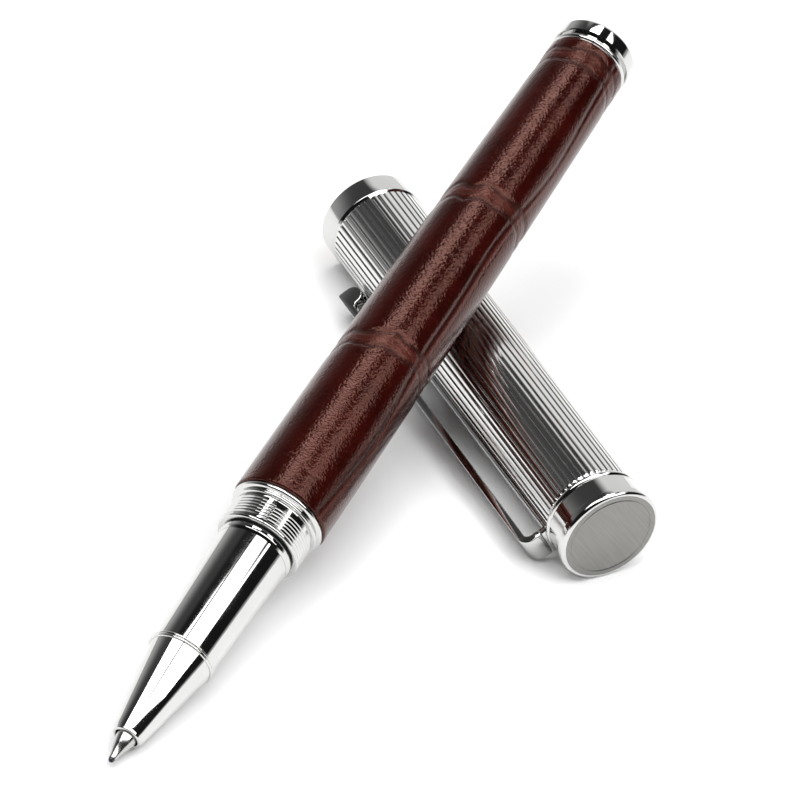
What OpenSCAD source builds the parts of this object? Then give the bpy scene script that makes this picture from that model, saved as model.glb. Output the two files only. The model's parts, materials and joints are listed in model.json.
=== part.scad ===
// Rollerball pen lying uncapped across its own cap.
// The pen's pieces are drawn upright, z = 0 at the writing ball and +z towards the rear,
// and the cap's upright on the finial's face, +z towards the mouth. Two modules lay them down.

/* [Refill] */
// Overall length of the refill
refill_len = 110.5; // [92:0.5:135]
// Outer radius of the refill
refill_r = 3.05; // [2.5:0.05:3.7]
// Wall of the refill's tube
refill_wall = 0.25; // [0.2:0.05:0.4]
// Radius of the ink feed
feed_r = 0.5; // [0.4:0.05:0.8]
// Radius of the writing ball
ball_r = 0.35; // [0.25:0.05:0.5]
// Distance that the refill can be pushed back against its spring
refill_float = 1; // [0.5:0.1:1.4]
// Wire diameter of the refill's spring
spring_wire = 0.4; // [0.3:0.05:0.5]
// Coils of the refill's spring
spring_coils = 4; // [3:1:6]

/* [Grip section] */
// Length of the metal refill tip that shows in front of the nose
tip_out = 3.6; // [3.2:0.1:5]
// Length of the nose cone
nose_len = 12; // [10:0.5:16]
// Outer radius of the nose cone's front lip
nose_lip_r = 1.8; // [1.6:0.05:2.2]
// Length of the bead ring between nose and grip
nose_ring_len = 0.7; // [0.5:0.1:1.5]
// Height of that ring's bead above the nose
nose_ring_proud = 0.23; // [0.1:0.01:0.6]
// Length of the grip
grip_len = 16; // [13:0.5:22]
// Wall of the grip over the nose cone's tenon
grip_front_wall = 0.43; // [0.3:0.01:1]
// Wall of the grip over the barrel's tenon
grip_rear_wall = 0.8; // [0.4:0.05:1.2]
// Length of the ring behind the grip
grip_ring_len = 0.9; // [0.5:0.1:2]
// Height of the ring behind the grip above the grip
grip_ring_proud = 0.2; // [0.1:0.05:0.4]
// Length of the tenon that screws into the barrel
tenon_len = 9; // [6:0.5:12]
// Wall of that tenon
tenon_wall = 0.55; // [0.4:0.05:0.8]
// Thickness of the seal ring between grip and barrel
seal_t = 0.3; // [0.2:0.05:0.6]

/* [Barrel] */
// Length of the cap thread on the barrel's front
thread_len = 3.4; // [2.8:0.1:5]
// Distance from one thread crest to the next
thread_pitch = 0.45; // [0.3:0.05:0.8]
// Length of the collar behind the cap thread
collar_len = 1.8; // [1.2:0.1:2.5]
// Height of the collar's bead above the cap thread
collar_step = 0.56; // [0.4:0.02:0.7]
// Depth of the collar's bead below the leather
collar_inset = 0.14; // [0:0.02:0.4]
// Wall of the collar's sleeve inside the barrel
sleeve_wall = 1.1; // [0.8:0.05:1.5]
// Space around the refill in the barrel
barrel_room = 1.05; // [0.9:0.05:1.3]
// Wall of the barrel tube at its front
tube_front_wall = 0.65; // [0.5:0.05:1.2]
// Wall of the barrel tube at its rear
tube_rear_wall = 0.55; // [0.4:0.05:1]
// Thickness of the leather
leather_t = 0.5; // [0.3:0.05:0.6]
// Length of the ring behind the leather
rear_ring_len = 0.8; // [0.5:0.1:2]
// Height of the ring behind the leather above the leather
rear_ring_proud = 0.07; // [0.02:0.01:0.3]
// Length of the groove between that ring and the end plug
rear_groove_len = 0.5; // [0.3:0.1:1]
// Length of the end plug that shows
end_plug_len = 2.1; // [1.5:0.1:3.4]
// Height of the end plug above the leather
end_plug_proud = 0.13; // [0.05:0.01:0.5]
// Rounding of the end plug's rim
end_plug_round = 0.5; // [0.2:0.05:1]
// Length of the room for the spring behind the refill
spring_room = 6; // [3.5:0.5:12]
// Solid end of the end plug behind the spring
end_wall = 5; // [4:0.1:8]

/* [Cap] */
// Overall length of the cap
cap_len = 64.9; // [54:0.1:80]
// Length of the mouth ring
mouth_len = 3.5; // [2.5:0.1:6]
// Depth of the mouth ring's seat for the collar
mouth_seat_len = 1.5; // [1:0.1:2.4]
// Wall of the mouth ring around its seat
mouth_wall = 0.44; // [0.36:0.02:1]
// Number of flutes around the cap
flute_count = 45; // [24:1:60]
// Depth of a flute
flute_depth = 0.2; // [0.1:0.02:0.3]
// Wall of the cap tube under the flutes at the mouth
cap_mouth_wall = 0.37; // [0.3:0.01:0.45]
// Wall of the cap tube under the flutes at the finial end
cap_top_wall = 0.38; // [0.3:0.01:0.6]
// Length of the threaded bush inside the mouth
bush_len = 5; // [4:0.5:8]
// Wall of the threaded bush
bush_wall = 0.3; // [0.2:0.05:0.4]
// Wall of the inner cap
inner_cap_wall = 0.45; // [0.3:0.05:0.6]
// Free length in front of the pen's tip when the cap is on
tip_room = 4; // [2:0.5:8]
// Thickness of the finial disc
finial_t = 1.2; // [1:0.1:3]
// Rounding of the finial disc's rim
finial_round = 0.45; // [0.2:0.05:0.5]
// Length of the smooth neck band
neck_len = 2.7; // [1.5:0.1:6]
// Height of the neck band above the flutes
neck_proud = 0.2; // [0.05:0.05:0.3]
// Length of the bead ring at the top of the flutes
bead_len = 0.9; // [0.5:0.1:2]
// Height of the bead ring above the flutes
bead_proud = 0.32; // [0.1:0.02:0.4]
// Radius of the screw that holds the finial
screw_r = 1.5; // [1:0.1:2]
// Length of the screw that holds the finial
screw_len = 9; // [7:0.5:9.5]

/* [Clip] */
// Width of the clip
clip_w = 4; // [3:0.1:5]
// Thickness of the clip's strip
clip_t = 0.9; // [0.6:0.05:1.2]
// Gap between the clip and the top of the flutes
clip_gap = 2.1; // [1.7:0.1:2.6]
// Distance from the clip's tip to the cap's mouth
clip_inset = 9.9; // [6:0.1:25]
// Inner radius of the clip's bend
clip_bend_r = 0.7; // [0.4:0.05:1]
// Length of the rounded lug under the clip's tip
lug_len = 2.7; // [2:0.1:4]

/* [Arrangement] */
// Distance from the finial's face to where the pen crosses the cap
cross_pos = 41.1; // [32:0.5:48]
// Sideways distance from the cap's axis to the writing ball
tip_reach = 66.4; // [55:0.5:72]
// Angle between the pen and the line square to the cap, seen from above
pen_yaw = 36; // [20:0.1:45]

/* [Hidden] */
$fn = 64;

run_gap = 0.05;      // running clearance of pieces that turn or slide in each other
loose_gap = 0.1;     // clearance of pieces that only drop into each other
liner_gap = 0.15;    // clearance of the grip's ring in the inner cap
seat_gap = 0.08;     // clearance of the collar in the cap's mouth
socket_gap = 0.02;   // clearance of the ball in its socket
face_gap = 0.02;     // clearance beside the seal ring and the spring
rest_gap = 0.08;     // clearance where the pen lies on the cap
cut = 1;             // overrun of a cutting solid

// Places along the pen, from the writing ball
nose_z = tip_out;
nose_ring_z = nose_z + nose_len;
grip_z = nose_ring_z + nose_ring_len;
grip_ring_z = grip_z + grip_len;
seal_z = grip_ring_z + grip_ring_len;
thread_z = seal_z + seal_t;
collar_z = thread_z + thread_len;
barrel_z = collar_z + collar_len;
spring_end_z = refill_len + spring_room;
pen_len = spring_end_z + end_wall;
end_plug_z = pen_len - end_plug_len;
rear_groove_z = end_plug_z - rear_groove_len;
rear_ring_z = rear_groove_z - rear_ring_len;
barrel_len = rear_ring_z - barrel_z;
belly = 0.53;        // share of the barrel's taper that grows towards the rear

// Radii of the pen, from the refill outwards
section_bore_r = refill_r + loose_gap;
nose_tenon_wall = 0.32;
nose_tenon_r = section_bore_r + nose_tenon_wall;
nose_rear_r = nose_tenon_r + grip_front_wall;
nose_ring_r = nose_rear_r + nose_ring_proud;
tenon_r = section_bore_r + tenon_wall;
grip_front_r = nose_rear_r;
grip_rear_r = tenon_r + grip_rear_wall;
grip_ring_r = grip_rear_r + grip_ring_proud;
sleeve_bore_r = tenon_r + run_gap;
sleeve_r = sleeve_bore_r + sleeve_wall;
barrel_bore_r = refill_r + barrel_room;
barrel_front_r = sleeve_r + tube_front_wall + leather_t;
barrel_rear_r = barrel_bore_r + tube_rear_wall + leather_t;
collar_r = barrel_front_r - collar_inset;
thread_r = collar_r - collar_step;
rear_ring_r = barrel_rear_r + rear_ring_proud;
end_plug_r = barrel_rear_r + end_plug_proud;

// Inside of the pen
tenon_inset = 4.5;                       // length of the tenon's root inside the grip
tenon_end_z = thread_z + tenon_len;
nose_lip_wall = 0.4;
nose_bore_r = nose_lip_r - nose_lip_wall;
nose_lip_ease = 0.1;                     // chamfer around the nose's front
nose_wall = 0.5;
nose_lip_len = 1;
nose_tenon_len = 4;
nose_slope = (nose_rear_r - nose_lip_r) / nose_len;
sleeve_extra = 0.8;                      // length of the sleeve behind the tenon
sleeve_end_z = tenon_end_z + sleeve_extra;
tip_room_r = 0.15;                       // room around the refill's tip in the nose
tip_cone_r = nose_bore_r - tip_room_r;         // refill tip's radius where it leaves the nose
tip_shank_len = 4.4;                     // refill tip's length inside the nose
tip_lip_set = 0.1;                       // height of the tip's rolled lip behind the ball's middle
tip_lip_wall = 0.08;
tip_lip_z = ball_r + tip_lip_set;
tip_lip_r = ball_r + tip_lip_wall;
tip_bore_z = 2;
ink_channel_r = 0.15;
holder_set = 1.6;                        // distance of the refill's holder behind the nose's front
holder_z = tip_out + holder_set;
holder_past = 0.6;                       // length of the holder behind the nose ring
holder_step_z = grip_z + holder_past;
holder_spigot_len = 3.4;
tube_bore_r = refill_r - refill_wall;
refill_cap_len = 1.5;                    // length of the refill's end plug outside its tube
refill_spigot_len = 2;
feed_in = 4;                             // length of the feed inside the reservoir
feed_end_z = holder_step_z + holder_spigot_len + feed_in;
spring_pocket_r = refill_r - loose_gap;
stem_gap = 0.6;                          // what is left behind the refill when it is pushed back
stem_z = refill_len + refill_float + stem_gap;

// Places along the cap, from the finial's face
neck_z = finial_t;
bead_z = neck_z + neck_len;
tube_z = bead_z + bead_len;
plate_t = 0.8;                           // thickness of the clip's plate
top_plug_z = tube_z + plate_t;
full_plug_len = 5;                       // length of the top plug where the cap has room for it
mouth_z = cap_len - mouth_len;
mouth_bevel = 0.4;
seat_z = cap_len - mouth_seat_len;
bush_z = seat_z - bush_len;
inner_cap_floor = 1;
inner_cap_z = cap_len - barrel_z - tip_room - inner_cap_floor;
top_plug_len = min(full_plug_len, inner_cap_z - loose_gap - top_plug_z);
screw_z = finial_t / 2;

// Radii of the cap, from the pen outwards
inner_cap_bore_r = grip_ring_r + liner_gap;
cap_bore_r = inner_cap_bore_r + inner_cap_wall;
bush_bore_r = thread_r + run_gap;
bush_r = bush_bore_r + bush_wall;
mouth_seat_r = collar_r + seat_gap;
cap_end_r = mouth_seat_r + mouth_wall;
flute_mouth_r = bush_r + cap_mouth_wall + flute_depth;
flute_top_r = cap_bore_r + cap_top_wall + flute_depth;
flute_slope = (flute_mouth_r - flute_top_r) / (mouth_z - tube_z);
function cap_r_at(z) = flute_top_r + flute_slope * (z - tube_z);
neck_r = flute_top_r + neck_proud;
bead_r = flute_top_r + bead_proud;

// Clip, in the plane through the cap's axis: radius outwards, z along the cap
clip_reach = cap_len - clip_inset;        // the tip's distance from the finial's face
clip_in_r = cap_r_at(clip_reach / 2) + clip_gap;
clip_out_r = clip_in_r + clip_t;
leg_z = tube_z;                          // the leg's lower face
leg_mid_z = leg_z + clip_t / 2;
bend_r = clip_bend_r + clip_t;
bend_in = clip_out_r - bend_r;           // radius of the bend's centre
bend_z = leg_z + bend_r;
pivot_out = 0.95;                        // distance of the clip's hinge line outside the flutes
pivot_r = cap_r_at(tube_z) + pivot_out;
tab_end_r = pivot_r - clip_t / 2 - run_gap;
lug_r = lug_len / 2;
lug_low_r = cap_r_at(clip_reach) + run_gap;
slot_w = clip_w + 2 * run_gap;

// How the pieces lie
cap_h = cap_end_r;
clip_angle = asin(cap_h / norm([clip_out_r, clip_w / 2])) - atan2(clip_w / 2, clip_out_r);
function barrel_r_at(z) = let (u = min(1, max(0, (z - barrel_z) / barrel_len)))
    barrel_front_r - (barrel_front_r - barrel_rear_r) * ((1 - belly) * u + belly * u * u);
// The pen's front stands on the nose's lip, or on the ball if that reaches lower
function ball_h_at(tilt) = max(
    ball_r,
    nose_lip_r * cos(tilt) - (nose_z + nose_lip_ease - ball_r) * sin(tilt)
);
// Tilt of a pen whose ball is at height h and whose barrel has radius r where it crosses the cap
function tilt_for(r, h) = let (
        drop = cap_h - h,
        apart = r + cap_r_at(cross_pos) + rest_gap,
        slope = asin(apart / norm([tip_reach, drop])) + atan2(drop, tip_reach)
    ) atan(tan(slope) * cos(pen_yaw));
function along_pen(tilt) = tip_reach / cos(pen_yaw) / cos(tilt);
function next_tilt(tilt) = tilt_for(barrel_r_at(along_pen(tilt)), ball_h_at(tilt));
pen_tilt = next_tilt(next_tilt(next_tilt(tilt_for(barrel_front_r, ball_r))));
ball_h = ball_h_at(pen_tilt);
pen_dir = [cos(pen_tilt) * cos(pen_yaw), cos(pen_tilt) * sin(pen_yaw), sin(pen_tilt)];
ball_x = -tip_reach;
ball_y = cross_pos - tip_reach * tan(pen_yaw);

// The origin is the middle of the footprint's box, on the floor
function rear_reach(d) = (pen_len - ball_r - end_plug_round) * d
    + (end_plug_r - end_plug_round) * sqrt(1 - d * d) + end_plug_round;
box_min = [ball_x - ball_r, min(0, ball_y - ball_r)];
box_max = [ball_x + rear_reach(pen_dir[0]), max(cap_len, ball_y + rear_reach(pen_dir[1]))];
middle = (box_min + box_max) / 2;

module pen_frame() {
    translate([ball_x - middle[0], ball_y - middle[1], ball_h])
        rotate([0, 90 - pen_tilt, pen_yaw])
            translate([0, 0, -ball_r])
                children();
}

module cap_frame() {
    translate([-middle[0], -middle[1], cap_h])
        rotate([-90, 0, 0])
            children();
}

// Turns the clip's plane to its place around the cap
module clip_frame() {
    cap_frame() rotate([0, 0, 180 - clip_angle]) children();
}

// Ring or tube from z0, with an outer radius and a bore
module tube(z0, len, r, bore) {
    difference() {
        translate([0, 0, z0]) cylinder(h = len, r = r);
        translate([0, 0, z0 - cut]) cylinder(h = len + 2 * cut, r = bore);
    }
}

// Solid of revolution about z from [radius, z] points
module turned(points) {
    rotate_extrude() polygon(points);
}

// Quarter-round from the top of a cylinder's side to its end face: [radius, z] points
function round_edge(r, z, round, steps = 4) =
    [for (i = [0 : steps]) let (a = 90 * i / steps)
        [r - round * (1 - cos(a)), z - round * (1 - sin(a))]];

// Outline of the barrel at a depth below the leather's surface
barrel_steps = 8;
function barrel_line(depth) = [for (i = [0 : barrel_steps])
    let (z = barrel_z + barrel_len * i / barrel_steps) [barrel_r_at(z) - depth, z]];

// Ridges of a thread seen in section, from z0 to z1
function thread_line(z0, z1, r, depth, pitch) =
    let (count = floor((z1 - z0) / pitch), start = (z0 + z1 - count * pitch) / 2)
    [for (i = [0 : count - 1]) each [[r - depth, start + i * pitch], [r, start + (i + 0.5) * pitch]]];

// Tube of wire swept along a helix, closed at both ends
module coil(z0, z1, r, wire, turns) {
    sides = 8;
    rings = turns * 14;
    rise = atan2(z1 - z0 - wire, 360 * turns * r * PI / 180);
    function ring_point(a, h, o, v) = [
        (r + o) * cos(a) + v * sin(rise) * sin(a),
        (r + o) * sin(a) - v * sin(rise) * cos(a),
        h + v * cos(rise)
    ];
    points = [
        for (i = [0 : rings]) for (k = [0 : sides - 1])
            ring_point(
                360 * turns * i / rings,
                z0 + wire / 2 + (z1 - z0 - wire) * i / rings,
                wire / 2 * cos(360 * k / sides),
                wire / 2 * sin(360 * k / sides)
            )
    ];
    last = rings * sides;
    faces = concat(
        [[for (k = [0 : sides - 1]) k]],
        [for (i = [0 : rings - 1]) for (k = [0 : sides - 1]) let (n = (k + 1) % sides)
            each [[i * sides + k, (i + 1) * sides + k, (i + 1) * sides + n],
                  [i * sides + k, (i + 1) * sides + n, i * sides + n]]],
        [[for (k = [sides - 1 : -1 : 0]) last + k]]
    );
    polyhedron(points = points, faces = faces, convexity = 4);
}

// ---- Refill ----

module writing_ball() {
    color("dimgray") pen_frame() translate([0, 0, ball_r]) sphere(r = ball_r);
}

module refill_tip() {
    shank_z = tip_out + tip_shank_len;
    color("silver") pen_frame() difference() {
        turned([
            [0, tip_lip_z], [tip_lip_r, tip_lip_z], [tip_cone_r, tip_out],
            [tip_cone_r, shank_z], [0, shank_z]
        ]);
        translate([0, 0, ball_r]) sphere(r = ball_r + socket_gap);
        translate([0, 0, ball_r]) cylinder(h = tip_bore_z, r = ink_channel_r);
        translate([0, 0, tip_bore_z]) cylinder(h = shank_z - tip_bore_z + cut, r = feed_r);
    }
}

module refill_holder() {
    shank_z = tip_out + tip_shank_len;
    front_r = nose_lip_r + nose_slope * (holder_z - nose_z) - nose_wall - loose_gap;
    full_z = holder_z + (refill_r - front_r) / nose_slope;
    color("black") pen_frame() difference() {
        turned([
            [0, holder_z], [front_r, holder_z],
            [refill_r, min(full_z, holder_step_z)], [refill_r, holder_step_z],
            [tube_bore_r, holder_step_z], [tube_bore_r, holder_step_z + holder_spigot_len],
            [0, holder_step_z + holder_spigot_len]
        ]);
        translate([0, 0, holder_z - cut]) cylinder(h = shank_z - holder_z + cut, r = tip_cone_r);
        cylinder(h = feed_end_z, r = feed_r);
    }
}

module ink_feed() {
    color("ivory") pen_frame()
        translate([0, 0, tip_bore_z]) cylinder(h = feed_end_z - tip_bore_z, r = feed_r);
}

module ink_reservoir() {
    front_z = holder_step_z + holder_spigot_len;
    len = refill_len - refill_cap_len - refill_spigot_len - front_z;
    color("midnightblue") pen_frame() difference() {
        translate([0, 0, front_z]) cylinder(h = len, r = tube_bore_r);
        translate([0, 0, front_z - cut]) cylinder(h = feed_end_z - front_z + cut, r = feed_r);
    }
}

module refill_tube() {
    color("lightgray") pen_frame()
        tube(holder_step_z, refill_len - refill_cap_len - holder_step_z, refill_r, tube_bore_r);
}

module refill_end_plug() {
    color("black") pen_frame() {
        translate([0, 0, refill_len - refill_cap_len]) cylinder(h = refill_cap_len, r = refill_r);
        translate([0, 0, refill_len - refill_cap_len - refill_spigot_len])
            cylinder(h = refill_cap_len + refill_spigot_len, r = tube_bore_r);
    }
}

module refill_spring() {
    color("gray") pen_frame()
        coil(refill_len + face_gap, spring_end_z - face_gap,
             spring_pocket_r - loose_gap - spring_wire / 2, spring_wire, spring_coils);
}

// ---- Grip section ----

module nose_cone() {
    lip_z = nose_z + nose_lip_len;
    inner_front_r = nose_lip_r + nose_slope * nose_lip_len - nose_wall;
    inner_end_z = nose_z + (section_bore_r + nose_wall - nose_lip_r) / nose_slope;
    end_z = nose_ring_z + nose_tenon_len;
    color("silver") pen_frame() difference() {
        turned(concat(
            [[0, nose_z], [nose_lip_r - nose_lip_ease, nose_z], [nose_lip_r, nose_z + nose_lip_ease]],
            [[nose_rear_r, nose_ring_z], [nose_tenon_r, nose_ring_z], [nose_tenon_r, end_z], [0, end_z]]
        ));
        translate([0, 0, nose_z - cut]) cylinder(h = nose_lip_len + 2 * cut, r = nose_bore_r);
        turned([
            [0, lip_z], [inner_front_r, lip_z], [section_bore_r, min(inner_end_z, nose_ring_z)],
            [section_bore_r, end_z + cut], [0, end_z + cut]
        ]);
    }
}

module nose_ring() {
    edge = 0.2;
    color("silver") pen_frame() difference() {
        turned([
            [0, nose_ring_z], [nose_ring_r - edge, nose_ring_z], [nose_ring_r, nose_ring_z + edge],
            [nose_ring_r, grip_z - edge], [nose_ring_r - edge, grip_z], [0, grip_z]
        ]);
        translate([0, 0, nose_ring_z - cut]) cylinder(h = nose_ring_len + 2 * cut, r = nose_tenon_r);
    }
}

module grip_sleeve() {
    color("silver") pen_frame() difference() {
        translate([0, 0, grip_z]) cylinder(h = grip_len, r1 = grip_front_r, r2 = grip_rear_r);
        translate([0, 0, grip_z - cut]) cylinder(h = grip_len + 2 * cut, r = nose_tenon_r);
        translate([0, 0, grip_ring_z - tenon_inset]) cylinder(h = tenon_inset + cut, r = tenon_r);
    }
}

module grip_ring() {
    edge = 0.2;
    color("silver") pen_frame() difference() {
        turned([
            [0, grip_ring_z], [grip_rear_r, grip_ring_z], [grip_ring_r, grip_ring_z + edge],
            [grip_ring_r, seal_z - face_gap], [0, seal_z - face_gap]
        ]);
        translate([0, 0, grip_ring_z - cut]) cylinder(h = grip_ring_len + 2 * cut, r = tenon_r);
    }
}

module section_tenon() {
    root_z = grip_ring_z - tenon_inset;
    color("goldenrod") pen_frame() tube(root_z, tenon_end_z - root_z, tenon_r, section_bore_r);
}

module section_seal() {
    color("black") pen_frame()
        tube(seal_z, seal_t - face_gap, grip_rear_r, sleeve_bore_r);
}

// ---- Barrel ----

module collar_bushing() {
    bead_w = 0.6;
    ease = 0.25;
    run_in = 0.1;
    depth = 0.16;
    crest_z1 = collar_z - run_in;
    color("silver") pen_frame() difference() {
        turned(concat(
            [[0, thread_z], [grip_ring_r, thread_z], [thread_r - ease, thread_z + ease]],
            thread_line(thread_z + ease, crest_z1, thread_r, depth, thread_pitch),
            [
                [thread_r, crest_z1], [collar_r - ease, barrel_z - bead_w - run_in],
                [collar_r, barrel_z - bead_w], [collar_r, barrel_z],
                [sleeve_r, barrel_z], [sleeve_r, sleeve_end_z], [0, sleeve_end_z]
            ]
        ));
        translate([0, 0, thread_z - cut]) cylinder(h = sleeve_end_z - thread_z + 2 * cut, r = sleeve_bore_r);
    }
}

module barrel_tube() {
    color("goldenrod") pen_frame() difference() {
        turned(concat([[0, barrel_z]], barrel_line(leather_t), [[0, rear_ring_z]]));
        translate([0, 0, barrel_z - cut]) cylinder(h = barrel_len + 2 * cut, r = barrel_bore_r);
        translate([0, 0, barrel_z - cut])
            cylinder(h = sleeve_end_z - barrel_z + cut, r = sleeve_r);
    }
}

module leather_wrap() {
    inner = barrel_line(leather_t);
    color("saddlebrown") pen_frame()
        turned(concat(barrel_line(0), [for (i = [barrel_steps : -1 : 0]) inner[i]]));
}

module rear_ring() {
    color("silver") pen_frame() tube(rear_ring_z, rear_ring_len, rear_ring_r, barrel_bore_r);
}

module end_plug() {
    groove_depth = 0.4;
    neck_r = end_plug_r - groove_depth;
    color("silver") pen_frame() difference() {
        turned(concat(
            [[0, stem_z], [barrel_bore_r, stem_z], [barrel_bore_r, rear_groove_z],
             [neck_r, rear_groove_z], [neck_r, end_plug_z], [end_plug_r, end_plug_z]],
            round_edge(end_plug_r, pen_len, end_plug_round),
            [[0, pen_len]]
        ));
        translate([0, 0, stem_z - cut])
            cylinder(h = spring_end_z - stem_z + cut, r = spring_pocket_r);
    }
}

// ---- Cap ----

// Section of the fluted tube: rounded ribs with a hollow between each pair
module flute_section(r) {
    steps = flute_count * 4;
    polygon([for (i = [0 : steps - 1]) let (a = 360 * i / steps, c = cos(a * flute_count))
        (r - flute_depth * (1 - c) / 2) * [cos(a), sin(a)]]);
}

module cap_tube() {
    len = mouth_z - tube_z;
    color("silver") cap_frame() difference() {
        translate([0, 0, tube_z])
            linear_extrude(height = len, scale = flute_mouth_r / flute_top_r) flute_section(flute_top_r);
        translate([0, 0, tube_z - cut]) cylinder(h = len + 2 * cut, r = cap_bore_r);
        translate([0, 0, bush_z]) cylinder(h = len, r = bush_r);
        rotate([0, 0, 180 - clip_angle]) translate([0, -slot_w / 2, tube_z - cut])
            cube([clip_out_r, slot_w, cut + clip_t + run_gap]);
    }
}

module mouth_ring() {
    bevel_r = flute_mouth_r - flute_depth;
    ease = 0.15;
    color("silver") cap_frame() difference() {
        turned([
            [0, mouth_z], [bevel_r, mouth_z], [cap_end_r, mouth_z + mouth_bevel],
            [cap_end_r, cap_len - ease], [cap_end_r - ease, cap_len], [0, cap_len]
        ]);
        translate([0, 0, mouth_z - cut]) cylinder(h = mouth_len + 2 * cut, r = bush_r);
        translate([0, 0, seat_z]) cylinder(h = mouth_seat_len + cut, r = mouth_seat_r);
    }
}

module thread_bush() {
    color("goldenrod") cap_frame() tube(bush_z, bush_len, bush_r, bush_bore_r);
}

module inner_cap() {
    color("dimgray") cap_frame() difference() {
        translate([0, 0, inner_cap_z]) cylinder(h = bush_z - inner_cap_z, r = cap_bore_r);
        translate([0, 0, inner_cap_z + inner_cap_floor]) cylinder(h = bush_z, r = inner_cap_bore_r);
    }
}

module cap_top_plug() {
    color("goldenrod") cap_frame() tube(top_plug_z, top_plug_len, cap_bore_r, screw_r);
}

module bead_ring() {
    edge = bead_len / 4;
    color("silver") cap_frame() difference() {
        turned([
            [0, bead_z], [bead_r - edge, bead_z], [bead_r, bead_z + edge],
            [bead_r, tube_z - edge], [bead_r - edge, tube_z], [0, tube_z]
        ]);
        translate([0, 0, bead_z - cut]) cylinder(h = bead_len + 2 * cut, r = screw_r);
    }
}

module clip_plate() {
    color("silver") clip_frame() difference() {
        union() {
            translate([0, 0, tube_z]) cylinder(h = plate_t, r = cap_bore_r);
            translate([0, -clip_w / 2, tube_z]) cube([tab_end_r, clip_w, plate_t]);
        }
        translate([0, 0, tube_z - cut]) cylinder(h = plate_t + 2 * cut, r = screw_r);
    }
}

// The clip's outline lies in the plane through the cap's axis and is as wide as the strip
module clip() {
    color("silver") clip_frame() translate([0, clip_w / 2, 0]) rotate([90, 0, 0]) {
        translate([clip_in_r, bend_z, 0]) cube([clip_t, clip_reach - bend_z, clip_w]);
        intersection() {
            translate([bend_in, bend_z, 0]) difference() {
                cylinder(h = clip_w, r = bend_r);
                translate([0, 0, -cut]) cylinder(h = clip_w + 2 * cut, r = clip_bend_r);
            }
            translate([bend_in, leg_z - cut, 0]) cube([bend_r + cut, bend_r + cut, clip_w]);
        }
        translate([pivot_r, leg_z, 0]) cube([bend_in - pivot_r, clip_t, clip_w]);
        translate([pivot_r, leg_mid_z, 0]) cylinder(h = clip_w, r = clip_t / 2);
        translate([lug_low_r + lug_r, clip_reach - lug_r, 0]) cylinder(h = clip_w, r = lug_r);
        translate([lug_low_r + lug_r, clip_reach - lug_len, 0])
            cube([clip_in_r - lug_low_r - lug_r + clip_t / 2, lug_len, clip_w]);
    }
}

module neck_band() {
    color("silver") cap_frame() tube(neck_z, neck_len, neck_r, screw_r);
}

module finial_disc() {
    rim = round_edge(cap_end_r, finial_round, finial_round);
    ease = 0.15;
    color("lightgray") cap_frame() difference() {
        turned(concat(
            [[0, 0]], [for (i = [len(rim) - 1 : -1 : 0]) [rim[i][0], finial_round - rim[i][1]]],
            [[cap_end_r, finial_t - ease], [cap_end_r - ease, finial_t], [0, finial_t]]
        ));
        translate([0, 0, screw_z]) cylinder(h = finial_t, r = screw_r);
    }
}

module finial_screw() {
    color("gray") cap_frame() translate([0, 0, screw_z]) cylinder(h = screw_len, r = screw_r);
}

writing_ball();
refill_tip();
refill_holder();
ink_feed();
ink_reservoir();
refill_tube();
refill_end_plug();
refill_spring();
nose_cone();
nose_ring();
grip_sleeve();
grip_ring();
section_tenon();
section_seal();
collar_bushing();
barrel_tube();
leather_wrap();
rear_ring();
end_plug();
cap_tube();
mouth_ring();
thread_bush();
inner_cap();
cap_top_plug();
bead_ring();
clip_plate();
clip();
neck_band();
finial_disc();
finial_screw();
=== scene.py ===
"""The looks of a leather-covered rollerball pen that lies across its cap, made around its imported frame."""

import json
from contextlib import contextmanager
from math import atan2, cos, hypot, pi, radians, sin

import bpy
import numpy as np
from mathutils import Matrix, Vector

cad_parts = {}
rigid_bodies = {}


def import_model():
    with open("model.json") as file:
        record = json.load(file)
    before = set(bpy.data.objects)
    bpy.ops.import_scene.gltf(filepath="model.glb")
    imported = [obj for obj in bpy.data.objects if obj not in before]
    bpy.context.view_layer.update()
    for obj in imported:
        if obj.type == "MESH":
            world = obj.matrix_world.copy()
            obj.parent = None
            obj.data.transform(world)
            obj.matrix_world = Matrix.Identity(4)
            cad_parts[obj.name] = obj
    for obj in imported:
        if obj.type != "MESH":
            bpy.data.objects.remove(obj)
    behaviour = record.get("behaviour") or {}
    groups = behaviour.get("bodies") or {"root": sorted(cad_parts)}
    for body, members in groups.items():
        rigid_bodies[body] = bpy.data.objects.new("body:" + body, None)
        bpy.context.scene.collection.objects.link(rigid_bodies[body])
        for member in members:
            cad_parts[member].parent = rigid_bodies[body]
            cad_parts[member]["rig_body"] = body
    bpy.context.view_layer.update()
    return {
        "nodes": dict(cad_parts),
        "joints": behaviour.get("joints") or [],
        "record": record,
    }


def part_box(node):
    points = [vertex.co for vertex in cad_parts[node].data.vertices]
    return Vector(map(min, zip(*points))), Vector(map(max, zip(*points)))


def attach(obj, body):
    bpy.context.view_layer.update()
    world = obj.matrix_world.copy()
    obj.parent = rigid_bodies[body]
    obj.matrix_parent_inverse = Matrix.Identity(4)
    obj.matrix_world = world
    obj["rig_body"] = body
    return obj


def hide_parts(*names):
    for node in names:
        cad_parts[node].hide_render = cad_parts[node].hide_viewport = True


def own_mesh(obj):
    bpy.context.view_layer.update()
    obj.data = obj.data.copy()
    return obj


bl_info = {
    "name": "Leather Rollerball Pen",
    "version": (1, 0, 0),
    "blender": (4, 5, 0),
    "location": "View3D > Sidebar > Pen",
    "description": "Makes the visible pieces of a rollerball pen and its cap around their packed frame",
    "category": "Object",
}

MM = 0.001
MERGE = 0.0004 * MM          # points closer than this are one point
RING_STEPS = 144             # faces around a turned piece
SMOOTH_ANGLE = radians(32)   # edges sharper than this stay crisp

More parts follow.
